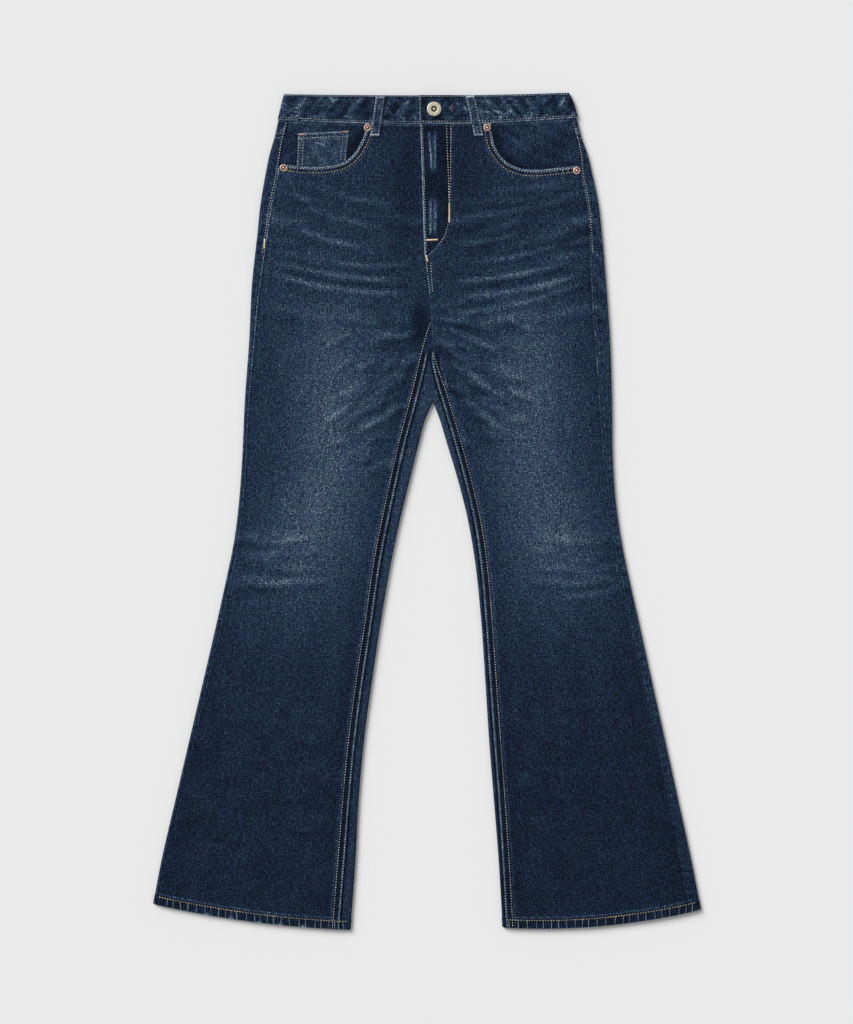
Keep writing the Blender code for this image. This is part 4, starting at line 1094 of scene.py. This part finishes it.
def stitch_rows():
    """Every running row of the garment, by thread."""
    pale, tan, slate = [], [], []
    for leg in LEGS:
        foot = leg.hem_inner - 3
        outer_row = [(leg.sign * out, drop) for out, drop in FELL_ROWS[leg.name]]
        pale += [
            run_line(outer_row + down_seam(leg, inseam, 385, foot, 9.8), 0.34),
            run_line(offset_opening(leg, 2.9)),
            strip_line(leg, 38, 205, 1.4), strip_bar(leg, 50.5), strip_bar(leg, 56.6)]
        tan += [run_line(offset_opening(leg, 8.0)), run_line(hem_row(leg)), under_line(hem_row(leg))]
        slate.append(run_line(down_seam(leg, inseam, CROTCH_DROP + 12, foot, 2.3)))
        slate += [under_line(yoke_row(leg, above)) for above in (2, 8)]
    slate += [run_line(band_row(start, end, band_top_drop, 1.8)) for start, end in ((-184, -11), (-9, 182))]
    slate += [
        run_line(band_row(start, end, band_foot_drop, -3.1)) for start, end in ((-190, -12), (-8.5, 192))]
    slate += [
        under_line(band_row(-186, 184, band_top_drop, 2.0)),
        under_line(band_row(-190, 190, band_foot_drop, -2.2)),
        run_line([(-8.6, 4), (-8.6, 33)]), run_line(beside_centre("front", 3.0, 42, 204, 12))]
    slate += [under_line(beside_centre("back", shift, 104, 396, 20)) for shift in (-3.2, 3.2)]
    pale += [
        run_line(FLY_STITCH), run_line(FLY_OUTER_STITCH), run_line(beside_centre("front", 1.6, 216, 258, 6))]
    pale.append(run_line([
        (x + lerp(7.2, 5.4, (drop - 220) / 36), drop)
        for x, drop in beside_centre("front", 0.0, 220, 256, 6)]))
    sides = (COIN_OUTER, COIN_INNER)
    for inset in (1.4, 7.0):
        pale.append(coin_line([(-side.top_out + 1.2 * side.inward, side.top_drop + inset) for side in sides]))
    slate += [coin_line(coin_side(side, inset)) for side in sides for inset in (1.4, 7.2)]
    slate += [
        loop_line(loop, [on_loop(loop, t, shift) for t in (0.04, 0.5, 0.96)])
        for loop in LOOPS for shift in (-4.2, 4.2)]
    return {"pale": pale, "tan": tan, "slate": slate}


# Ends of the gold bar tacks and their lift over the cloth
GOLD_TACKS = (
    ((29.1, 142.0), (29.0, 166.5), 0.15), ((-211.2, 189.0), (-211.6, 200.0), 0.25),
    ((-0.6, 190.0), (13.5, 189.4), 0.15), ((-1.0, 210.5), (0.8, 217.5), 0.15))


def bar_lines():
    """Bar tacks, by thread. Their stitches lie across the path."""
    return {
        "copper": [coin_line([(-165.4, 52.6), (-158.6, 52.2)]), coin_line([(-109.5, 48.9), (-103.0, 48.6)])],
        "gold": [run_line([start, end], lift) for start, end, lift in GOLD_TACKS],
        "rust": [run_line([(32.4, 14.0), (32.4, 22.5)], 0.2)],
        "slate": [
            loop_line(loop, [on_loop(loop, t, shift) for shift in (-4.8, 4.8)])
            for loop in LOOPS for t in (0.045, 0.965)],
    }


def ridge_lines():
    """Thin ridges rubbed bare: across the hems, and across the openings' turned edges by the outer rivets."""
    random = np.random.default_rng(5)
    lines = []
    for leg in LEGS:
        out = inner_edge(leg, leg.hem_inner) + 9.0
        while out < outer_edge(leg, leg.hem_outer) - 7.0:
            lean = random.uniform(-1.4, 1.0)
            foot = hem_line(leg, out) - 0.9
            lines.append(run_line([(leg.sign * out, foot), (leg.sign * (out + lean), foot - 9.2)], 0.2))
            out += random.uniform(7.4, 12.2)
        edges = offset_opening(leg, 1.2), offset_opening(leg, 7.0)
        for at in (35.2, 36.2, 37.2, 38.0):
            lines.append(run_line([lerp(edge[int(at)], edge[int(at) + 1], at % 1) for edge in edges], 0.5))
    return lines


def node_adder(tree):
    """Function that adds a node, with its settings and with links or values for its inputs."""

    def add(kind, wired=(), **settings):
        node = tree.nodes.new(kind)
        for key, value in settings.items():
            setattr(node, key, value)
        for socket, source in dict(wired).items():
            if hasattr(source, "is_output"):
                tree.links.new(source, node.inputs[socket])
            else:
                node.inputs[socket].default_value = source
        return node

    return add


def stitch_tree(name, material):
    """Node tree that sets one thread loop after another along the rows."""
    tree = bpy.data.node_groups.new(name, "GeometryNodeTree")
    sockets = tree.interface
    sockets.new_socket("Rows", in_out="INPUT", socket_type="NodeSocketGeometry")
    for label in ("Spacing", "Length", "Width", "Height", "Turn", "Shift"):
        sockets.new_socket(label, in_out="INPUT", socket_type="NodeSocketFloat")
    sockets.new_socket("Seed", in_out="INPUT", socket_type="NodeSocketInt")
    sockets.new_socket("Stitches", in_out="OUTPUT", socket_type="NodeSocketGeometry")
    add = node_adder(tree)
    given = add("NodeGroupInput").outputs
    path = add("GeometryNodeMeshToCurve", {0: given["Rows"]}).outputs[0]
    trimmed = {"Curve": path, "Start": given["Shift"], "End": 99.0}
    started = add("GeometryNodeTrimCurve", trimmed, mode="LENGTH").outputs[0]
    spaced = add("GeometryNodeResampleCurve", {"Curve": started, "Length": given["Spacing"]}, mode="LENGTH")
    size = add("ShaderNodeCombineXYZ", {0: given["Length"], 1: given["Width"], 2: given["Height"]})
    thread = add("GeometryNodeMeshUVSphere", {"Segments": 6, "Rings": 4, "Radius": 0.5})
    turned = add("GeometryNodeTransform", {
        "Geometry": thread.outputs[0], "Rotation": (0.0, math.pi / 2, 0.0)})
    loop = add("GeometryNodeTransform", {"Geometry": turned.outputs[0], "Scale": size.outputs[0]})
    tangent = add("GeometryNodeInputTangent")
    facing = add(
        "FunctionNodeAlignRotationToVector", {"Vector": tangent.outputs[0]}, axis="X", pivot_axis="Z")
    jitter = add("FunctionNodeRandomValue", {2: -0.09, 3: 0.09, "Seed": given["Seed"]}, data_type="FLOAT")
    angle = add("ShaderNodeMath", {0: jitter.outputs[1], 1: given["Turn"]}, operation="ADD")
    spin = add("ShaderNodeCombineXYZ", {2: angle.outputs[0]})
    around = add(
        "FunctionNodeRotateRotation", {0: facing.outputs[0], 1: spin.outputs[0]}, rotation_space="LOCAL")
    vary = add("FunctionNodeRandomValue", {2: 0.86, 3: 1.1, "Seed": given["Seed"]}, data_type="FLOAT")
    laid = add("GeometryNodeInstanceOnPoints", {
        "Points": spaced.outputs[0], "Instance": loop.outputs[0],
        "Rotation": around.outputs[0], "Scale": vary.outputs[1]})
    solid = add("GeometryNodeRealizeInstances", {0: laid.outputs[0]})
    dyed = add("GeometryNodeSetMaterial", {"Geometry": solid.outputs[0], "Material": material})
    add("NodeGroupOutput", {0: dyed.outputs[0]})
    return tree


def sew(name, lines, material, spacing, length, width, height, turn=0.0, shift=0.0):
    """Turns rows into a plain mesh of stitches."""
    edges = []
    start = 0
    for line in lines:
        edges += [(start + i, start + i + 1) for i in range(len(line) - 1)]
        start += len(line)
    rows = bpy.data.meshes.new(name + "_rows")
    rows.from_pydata(np.concatenate(lines).tolist(), edges, [])
    holder = link_piece(name, rows)
    tree = stitch_tree(name + "_sewing", material)
    modifier = holder.modifiers.new("Sewing", "NODES")
    modifier.node_group = tree
    values = {
        "Spacing": spacing, "Length": length, "Width": width, "Height": height, "Turn": turn, "Shift": shift,
        "Seed": 7}
    for item in tree.interface.items_tree:
        if item.in_out == "INPUT" and item.name in values:
            modifier[item.identifier] = values[item.name]
    graph = bpy.context.evaluated_depsgraph_get()
    made = bpy.data.meshes.new_from_object(holder.evaluated_get(graph))
    holder.modifiers.remove(modifier)
    holder.data = made
    made.name = name
    shade_smooth(made)
    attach(holder, "root")


# Materials


def linear(colour):
    """Linear colour from an sRGB hex value."""
    channels = [int(colour[i:i + 2], 16) / 255 for i in (0, 2, 4)]
    return [c / 12.92 if c <= 0.04045 else ((c + 0.055) / 1.055) ** 2.4 for c in channels]


def opaque(colour):
    return (*linear(colour), 1.0)


def start_material(name, **levels):
    """Material, its function that adds nodes, and its function that links a socket of the surface."""
    material = bpy.data.materials.new(name)
    material.use_nodes = True
    tree = material.node_tree
    surface = tree.nodes["Principled BSDF"]
    for key, level in levels.items():
        surface.inputs[key.replace("_", " ")].default_value = level

    def link(source, socket="Base Color"):
        tree.links.new(source, surface.inputs[socket])

    return material, node_adder(tree), link


WASHED = (
    (0.00, "0A101B"), (0.15, "142134"), (0.30, "1E2F47"), (0.45, "2B3F57"), (0.60, "3B4F64"),
    (0.78, "55687A"), (1.00, "8B9AA5"))
GRAIN_DARK = 0.26
GRAIN_FADED = 0.40


def washed_denim(name):
    """Indigo twill, stone washed: only the skin of the warp is dyed, so rubbing bares pale cotton."""
    material, add, link = start_material(
        name, Roughness=0.95, Specular_IOR_Level=0.06, Sheen_Weight=0.02, Sheen_Roughness=0.5)
    wear = add("ShaderNodeAttribute", attribute_name="wear").outputs["Fac"]
    cloth = add("ShaderNodeUVMap", uv_map="cloth").outputs[0]

    def yarn(across, along, detail=0.0):
        """Noise from -1 to 1 with features that are across by along millimetres on the cloth."""
        scaled = add("ShaderNodeMapping", {"Vector": cloth, "Scale": (1000 / across, 1000 / along, 1.0)})
        noise = add("ShaderNodeTexNoise", {"Vector": scaled.outputs[0], "Scale": 1.0, "Detail": detail})
        spread = {0: noise.outputs[0], 1: 0.3, 2: 0.7, 3: -1.0, 4: 1.0}
        return add("ShaderNodeMapRange", spread, clamp=False).outputs[0]

    def times_plus(a, b, c):
        return add("ShaderNodeMath", {0: a, 1: b, 2: c}, operation="MULTIPLY_ADD").outputs[0]

    # Yarns are 0.5 mm apart, too fine to show here, so their specks are drawn 1.3 to 2.6 mm wide,
    # the floats of weft and warp 6 and 7 mm long and the slubs, thick stretches of warp, 46 mm long.
    weave = (
        (0.32, 2.3, 2.6, 1.0), (0.72, 1.3, 1.4, 0.0), (0.20, 6.0, 1.4, 0.0), (0.30, 1.5, 7.0, 0.0),
        (0.22, 2.0, 46.0, 2.0))
    mixed = 0.0
    for share, across, along, detail in weave:
        mixed = times_plus(yarn(across, along, detail), share, mixed)
    reach = add("ShaderNodeMapRange", {0: wear, 1: 0.1, 2: 0.6, 3: GRAIN_DARK, 4: GRAIN_FADED}).outputs[0]
    level = times_plus(yarn(30.0, 52.0, 2.0), 0.03, times_plus(mixed, reach, wear))
    ramp = add("ShaderNodeValToRGB", {0: level})
    elements = ramp.color_ramp.elements
    while len(elements) < len(WASHED):
        elements.new(0.5)
    for element, (position, colour) in zip(elements, WASHED):
        element.position = position
        element.color = opaque(colour)
    # Indigo goes greener where it is thin and redder where it is thick.
    shift = {0: yarn(13.0, 17.0, 1.0), 1: -1.0, 2: 1.0, 3: 0.487, 4: 0.513}
    tint = add("ShaderNodeMapRange", shift).outputs[0]
    link(add("ShaderNodeHueSaturation", {"Hue": tint, "Color": ramp.outputs[0]}).outputs[0])
    link(add("ShaderNodeBump", {"Strength": 0.3, "Distance": 0.0004, "Height": mixed}).outputs[0], "Normal")
    return material


def mottled(add, scale, detail, low, high, dark, light):
    """Colour between a dark and a light one, by noise fixed to the object."""
    point = add("ShaderNodeTexCoord").outputs["Object"]
    noise = add("ShaderNodeTexNoise", {"Vector": point, "Scale": scale, "Detail": detail}).outputs[0]
    share = add("ShaderNodeMapRange", {0: noise, 1: low, 2: high}).outputs[0]
    return add("ShaderNodeMix", {0: share, 6: opaque(dark), 7: opaque(light)}, data_type="RGBA").outputs[2]


def cotton_thread(name, light, shade):
    """Twisted cotton-wrapped thread, faded in the wash: soft, with no gloss."""
    material, add, link = start_material(name, Roughness=0.8, Specular_IOR_Level=0.3)
    link(mottled(add, 90.0, 2.0, 0.38, 0.62, shade, light))
    return material


def cast_metal(name, light, dark, tarnish, rough):
    """Die-cast zinc alloy, plated and tumbled: satin, darker where polish never reached."""
    material, add, link = start_material(name, Metallic=0.45, Roughness=rough)
    colour = mottled(add, 450.0, 3.0, 0.35, 0.65, dark, light)
    polish = add("ShaderNodeAttribute", attribute_name="polish").outputs["Fac"]
    link(add("ShaderNodeMix", {0: polish, 6: opaque(tarnish), 7: colour}, data_type="RGBA").outputs[2])
    return material


# Metal trim: radius and height of each ring of a turned piece, from the foot up

RIVET_RINGS = (
    (4.55, 0.0), (4.7, 0.3), (4.75, 0.6), (4.6, 0.95), (4.25, 1.25), (3.8, 1.4), (3.3, 1.38), (3.0, 1.1),
    (2.8, 0.6), (2.0, 0.6), (1.8, 1.1), (1.6, 1.5), (1.3, 1.8), (0.8, 1.97))
BUTTON_RINGS = (
    (6.0, 0.0), (6.3, 0.5), (8.3, 0.8), (9.1, 1.2), (9.4, 1.8), (9.3, 2.3), (8.9, 2.7), (8.4, 2.88),
    (7.8, 2.95), (6.4, 2.95), (5.0, 2.95), (4.3, 2.9), (3.9, 2.6), (3.6, 1.9), (3.3, 1.5), (2.4, 1.4),
    (2.1, 1.6), (1.8, 2.1), (1.4, 2.35), (0.8, 2.48))
RIVET_GROOVE = (1.75, 3.05)
BUTTON_GROOVE = (1.75, 3.75)


def turned_piece(name, node, rings, groove, middle_height, sides, material):
    """Lathe-turned piece in the place of a CAD node, with its polish and its unpolished groove."""
    low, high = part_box(node)
    centre = Vector(((low.x + high.x) / 2, (low.y + high.y) / 2, low.z))
    body = bmesh.new()
    loops = []
    for radius, height in rings:
        turns = [2 * math.pi * step / sides for step in range(sides)]
        points = [Vector((radius * math.cos(turn), radius * math.sin(turn), height)) for turn in turns]
        loops.append([body.verts.new(centre + point * MM) for point in points])
    foot = body.verts.new(centre)
    crown = body.verts.new(centre + Vector((0, 0, middle_height)) * MM)
    for step in range(sides):
        after = (step + 1) % sides
        body.faces.new((foot, loops[0][after], loops[0][step]))
        body.faces.new((crown, loops[-1][step], loops[-1][after]))
        for lower, upper in zip(loops, loops[1:]):
            body.faces.new((lower[step], lower[after], upper[after], upper[step]))
    mesh = bpy.data.meshes.new(name)
    body.to_mesh(mesh)
    body.free()
    shade_smooth(mesh)
    polish = mesh.attributes.new("polish", "FLOAT", "POINT")
    for point, value in zip(mesh.vertices, polish.data):
        reach = (point.co - centre).xy.length / MM
        value.value = 0.0 if groove[0] < reach < groove[1] else 1.0
    mesh.materials.append(material)
    piece = link_piece(name, mesh)
    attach(piece, "root")
    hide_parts(node)


# Settings, operators and panel


def length_setting(name, description, millimetres):
    return FloatProperty(
        name=name, description=description, default=millimetres * MM, unit="LENGTH", precision=5)


class SewingSettings(PropertyGroup):
    spacing: length_setting("Stitch spacing", "From one stitch to the next", 3.5)
    length: length_setting("Stitch length", "Thread seen in one stitch", 1.9)
    width: length_setting("Thread width", "Across the thread", 1.25)
    height: length_setting("Thread height", "How high the thread stands", 0.55)


class TrimSettings(PropertyGroup):
    rivet_sides: IntProperty(name="Rivet facets", description="Sides round a rivet", default=32, min=8)
    button_sides: IntProperty(name="Button facets", description="Sides round the button", default=64, min=12)


class StageSettings(PropertyGroup):
    floor_colour: FloatVectorProperty(
        name="Floor", description="Colour of the plain floor", subtype="COLOR", size=3, min=0, max=1,
        default=linear("E9E9E9"))
    key_strength: FloatProperty(
        name="Key light", description="Strength of the soft light from the upper left", default=3.2)
    key_spread: FloatProperty(
        name="Key spread", description="Width of the soft light in degrees", default=34.0)
    sky: FloatProperty(
        name="Even light", description="Strength of the light from all round", default=0.42, min=0)


DENIM = {}


def denim(name="stone_washed_indigo_twill"):
    """The washed cloth of the panels, or that of the waistband and its loops, made once each."""
    if name not in DENIM:
        DENIM[name] = washed_denim(name)
    return DENIM[name]


class JEANS_OT_fronts(Operator):
    """Builds the two front panels"""
    bl_idname = "jeans.fronts"
    bl_label = "Fronts"

    def execute(self, context):
        for leg, area in zip(LEGS, (0.2140, 0.2070)):
            finish_cloth(
                front_panel(leg), denim(), leg.name + "_front_panel")
        return {"FINISHED"}


class JEANS_OT_backs(Operator):
    """Builds the two back panels and the yokes above them"""
    bl_idname = "jeans.backs"
    bl_label = "Backs and yokes"

    def execute(self, context):
        for leg in LEGS:
            finish_cloth(
                back_panel(leg), denim(), leg.name + "_back_panel")
            finish_cloth(back_yoke(leg), denim(), leg.name + "_yoke")
        return {"FINISHED"}


class JEANS_OT_pockets(Operator):
    """Builds the pocket facings and the coin pocket"""
    bl_idname = "jeans.pockets"
    bl_label = "Pockets"

    def execute(self, context):
        for leg in LEGS:
            finish_cloth(
                pocket_facing(leg), denim(),
                leg.name + "_pocket_facing")
        finish_cloth(
            coin_pocket(), denim(), "coin_pocket")
        return {"FINISHED"}


class JEANS_OT_waistband(Operator):
    """Builds the waistband and its belt loops"""
    bl_idname = "jeans.waistband"
    bl_label = "Waistband and belt loops"

    def execute(self, context):
        cloth = denim("dark_washed_indigo_twill")
        finish_cloth(waistband(), cloth, "waistband")
        for loop in LOOPS:
            finish_cloth(
                belt_loop(loop), cloth, loop.node)
        return {"FINISHED"}


class JEANS_OT_sewing(Operator):
    """Sews the seams, hems and bar tacks"""
    bl_idname = "jeans.sewing"
    bl_label = "Sewing"

    def execute(self, context):
        sizes = context.scene.jeans_sewing
        threads = {
            "pale": cotton_thread("ecru_cotton_thread", "D3D2C8", "93A0A9"),
            "tan": cotton_thread("straw_cotton_thread", "D9C59A", "A39A86"),
            "slate": cotton_thread("slate_cotton_thread", "B9C3C8", "6F7F8E"),
            "copper": cotton_thread("copper_cotton_thread", "CFB090", "9A7A66"),
            "rust": cotton_thread("rust_cotton_thread", "7A5A5C", "54444A"),
            "gold": cotton_thread("gold_cotton_thread", "EFE4C4", "CDB98C"),
        }
        rows = stitch_rows()
        for kind, lines in rows.items():
            sew(
                kind + "_stitches", lines, threads[kind], sizes.spacing, sizes.length, sizes.width,
                sizes.height)
        # Near-black blobs between the stitches: painted shadow in the needle holes where the thread sinks
        # into the cloth.
        sew(
            "painted_needle_hole_shadows", sum(rows.values(), []),
            cotton_thread("shaded_indigo_cotton", "10151F", "0B0F17"),
            sizes.spacing, sizes.spacing - 0.5 * sizes.length, sizes.width * 1.15, sizes.height * 0.5,
            shift=sizes.spacing / 2)
        sew(
            "rubbed_ridges", ridge_lines(), cotton_thread("rubbed_indigo_cotton", "7E909C", "4A5C6E"),
            1.5 * MM, 1.9 * MM, 1.1 * MM, sizes.height)
        for kind, lines in bar_lines().items():
            sew(
                kind + "_bar_tacks", lines, threads[kind], 0.85 * MM, 2.3 * MM, sizes.width,
                sizes.height * 1.4, turn=math.pi / 2)
        return {"FINISHED"}


class JEANS_OT_metal(Operator):
    """Sets the waist button and the rivets"""
    bl_idname = "jeans.metal"
    bl_label = "Button and rivets"

    def execute(self, context):
        sizes = context.scene.jeans_trim
        copper = cast_metal("aged_copper_plate", "E8CDBC", "BF9C88", "2A1C1A", 0.42)
        pewter = cast_metal("antique_pewter_plate", "D6D0BB", "B5AF9B", "2B2A26", 0.48)
        for node in ("right_inner_rivet", "right_outer_rivet", "left_inner_rivet", "left_outer_rivet"):
            turned_piece(
                node + "_cap", node, RIVET_RINGS, RIVET_GROOVE, 2.0, sizes.rivet_sides, copper)
        turned_piece(
            "shank_button", "waist_button", BUTTON_RINGS, BUTTON_GROOVE, 2.5, sizes.button_sides, pewter)
        return {"FINISHED"}


FLOOR_REACH = 6.0
FLOOR_LEVEL = -0.0004
KEY_PLACE = (-1.5, 1.35, 1.42)
CAMERA_PLACE = (-0.00065, -0.0009, 3.2)
CLOTH_MEAN_HEIGHT = 0.007
PICTURE_HEIGHT = 1.3312
SENSOR_HEIGHT = 36.0


class JEANS_OT_stage(Operator):
    """Lays the plain floor and sets the soft light and the camera straight above"""
    bl_idname = "jeans.stage"
    bl_label = "Floor, light and camera"

    def execute(self, context):
        scene = context.scene
        sizes = scene.jeans_stage
        scene.view_settings.view_transform = "Standard"
        mesh = bpy.data.meshes.new("floor")
        corners = ((-1, -1), (1, -1), (1, 1), (-1, 1))
        points = [(x * FLOOR_REACH, y * FLOOR_REACH, FLOOR_LEVEL) for x, y in corners]
        mesh.from_pydata(points, [], [(0, 1, 2, 3)])
        paint, _, _ = start_material(
            "matte_grey_paper", Base_Color=(*sizes.floor_colour, 1.0), Roughness=0.95, Specular_IOR_Level=0.1)
        mesh.materials.append(paint)
        link_piece("floor", mesh)
        world = bpy.data.worlds.new("even_light")
        world.use_nodes = True
        sky = world.node_tree.nodes["Background"].inputs
        sky["Color"].default_value = (1.0, 1.0, 1.0, 1.0)
        sky["Strength"].default_value = sizes.sky
        scene.world = world
        lamp = bpy.data.lights.new("key_light", "SUN")
        lamp.energy = sizes.key_strength
        lamp.angle = math.radians(sizes.key_spread)
        key = link_piece("key_light", lamp)
        key.location = KEY_PLACE
        key.rotation_mode = "QUATERNION"
        key.rotation_quaternion = (-key.location).to_track_quat("-Z", "Y")
        view = bpy.data.cameras.new("camera_above")
        # The picture's scale holds at the cloth's mean height.
        view.lens = SENSOR_HEIGHT * (CAMERA_PLACE[2] - CLOTH_MEAN_HEIGHT) / PICTURE_HEIGHT
        camera = link_piece("camera_above", view)
        camera.location = CAMERA_PLACE
        scene.camera = camera
        return {"FINISHED"}


class JEANS_PT_panel(Panel):
    """Lists the settings and the steps"""
    bl_label = "Slim bootcut jeans"
    bl_idname = "JEANS_PT_panel"
    bl_space_type = "VIEW_3D"
    bl_region_type = "UI"
    bl_category = "Jeans"

    def draw(self, context):
        for name in GROUPS:
            group = getattr(context.scene, name)
            for key in group.bl_rna.properties.keys():
                if key not in ("rna_type", "name"):
                    self.layout.prop(group, key)
        for step in STEPS:
            self.layout.operator(step.bl_idname)


STEPS = (
    JEANS_OT_backs, JEANS_OT_fronts, JEANS_OT_pockets, JEANS_OT_waistband, JEANS_OT_sewing, JEANS_OT_metal,
    JEANS_OT_stage)
GROUPS = {"jeans_sewing": SewingSettings, "jeans_trim": TrimSettings, "jeans_stage": StageSettings}
CLASSES = (*GROUPS.values(), *STEPS, JEANS_PT_panel)


def register():
    for kind in CLASSES:
        bpy.utils.register_class(kind)
    for name, group in GROUPS.items():
        setattr(bpy.types.Scene, name, PointerProperty(type=group))


def unregister():
    for name in GROUPS:
        delattr(bpy.types.Scene, name)
    for kind in reversed(CLASSES):
        bpy.utils.unregister_class(kind)


def main():
    register()
    bpy.ops.jeans.backs()
    bpy.ops.jeans.fronts()
    bpy.ops.jeans.pockets()
    bpy.ops.jeans.waistband()
    bpy.ops.jeans.sewing()
    bpy.ops.jeans.metal()
    bpy.ops.jeans.stage()


if __name__ == "__main__":
    main()
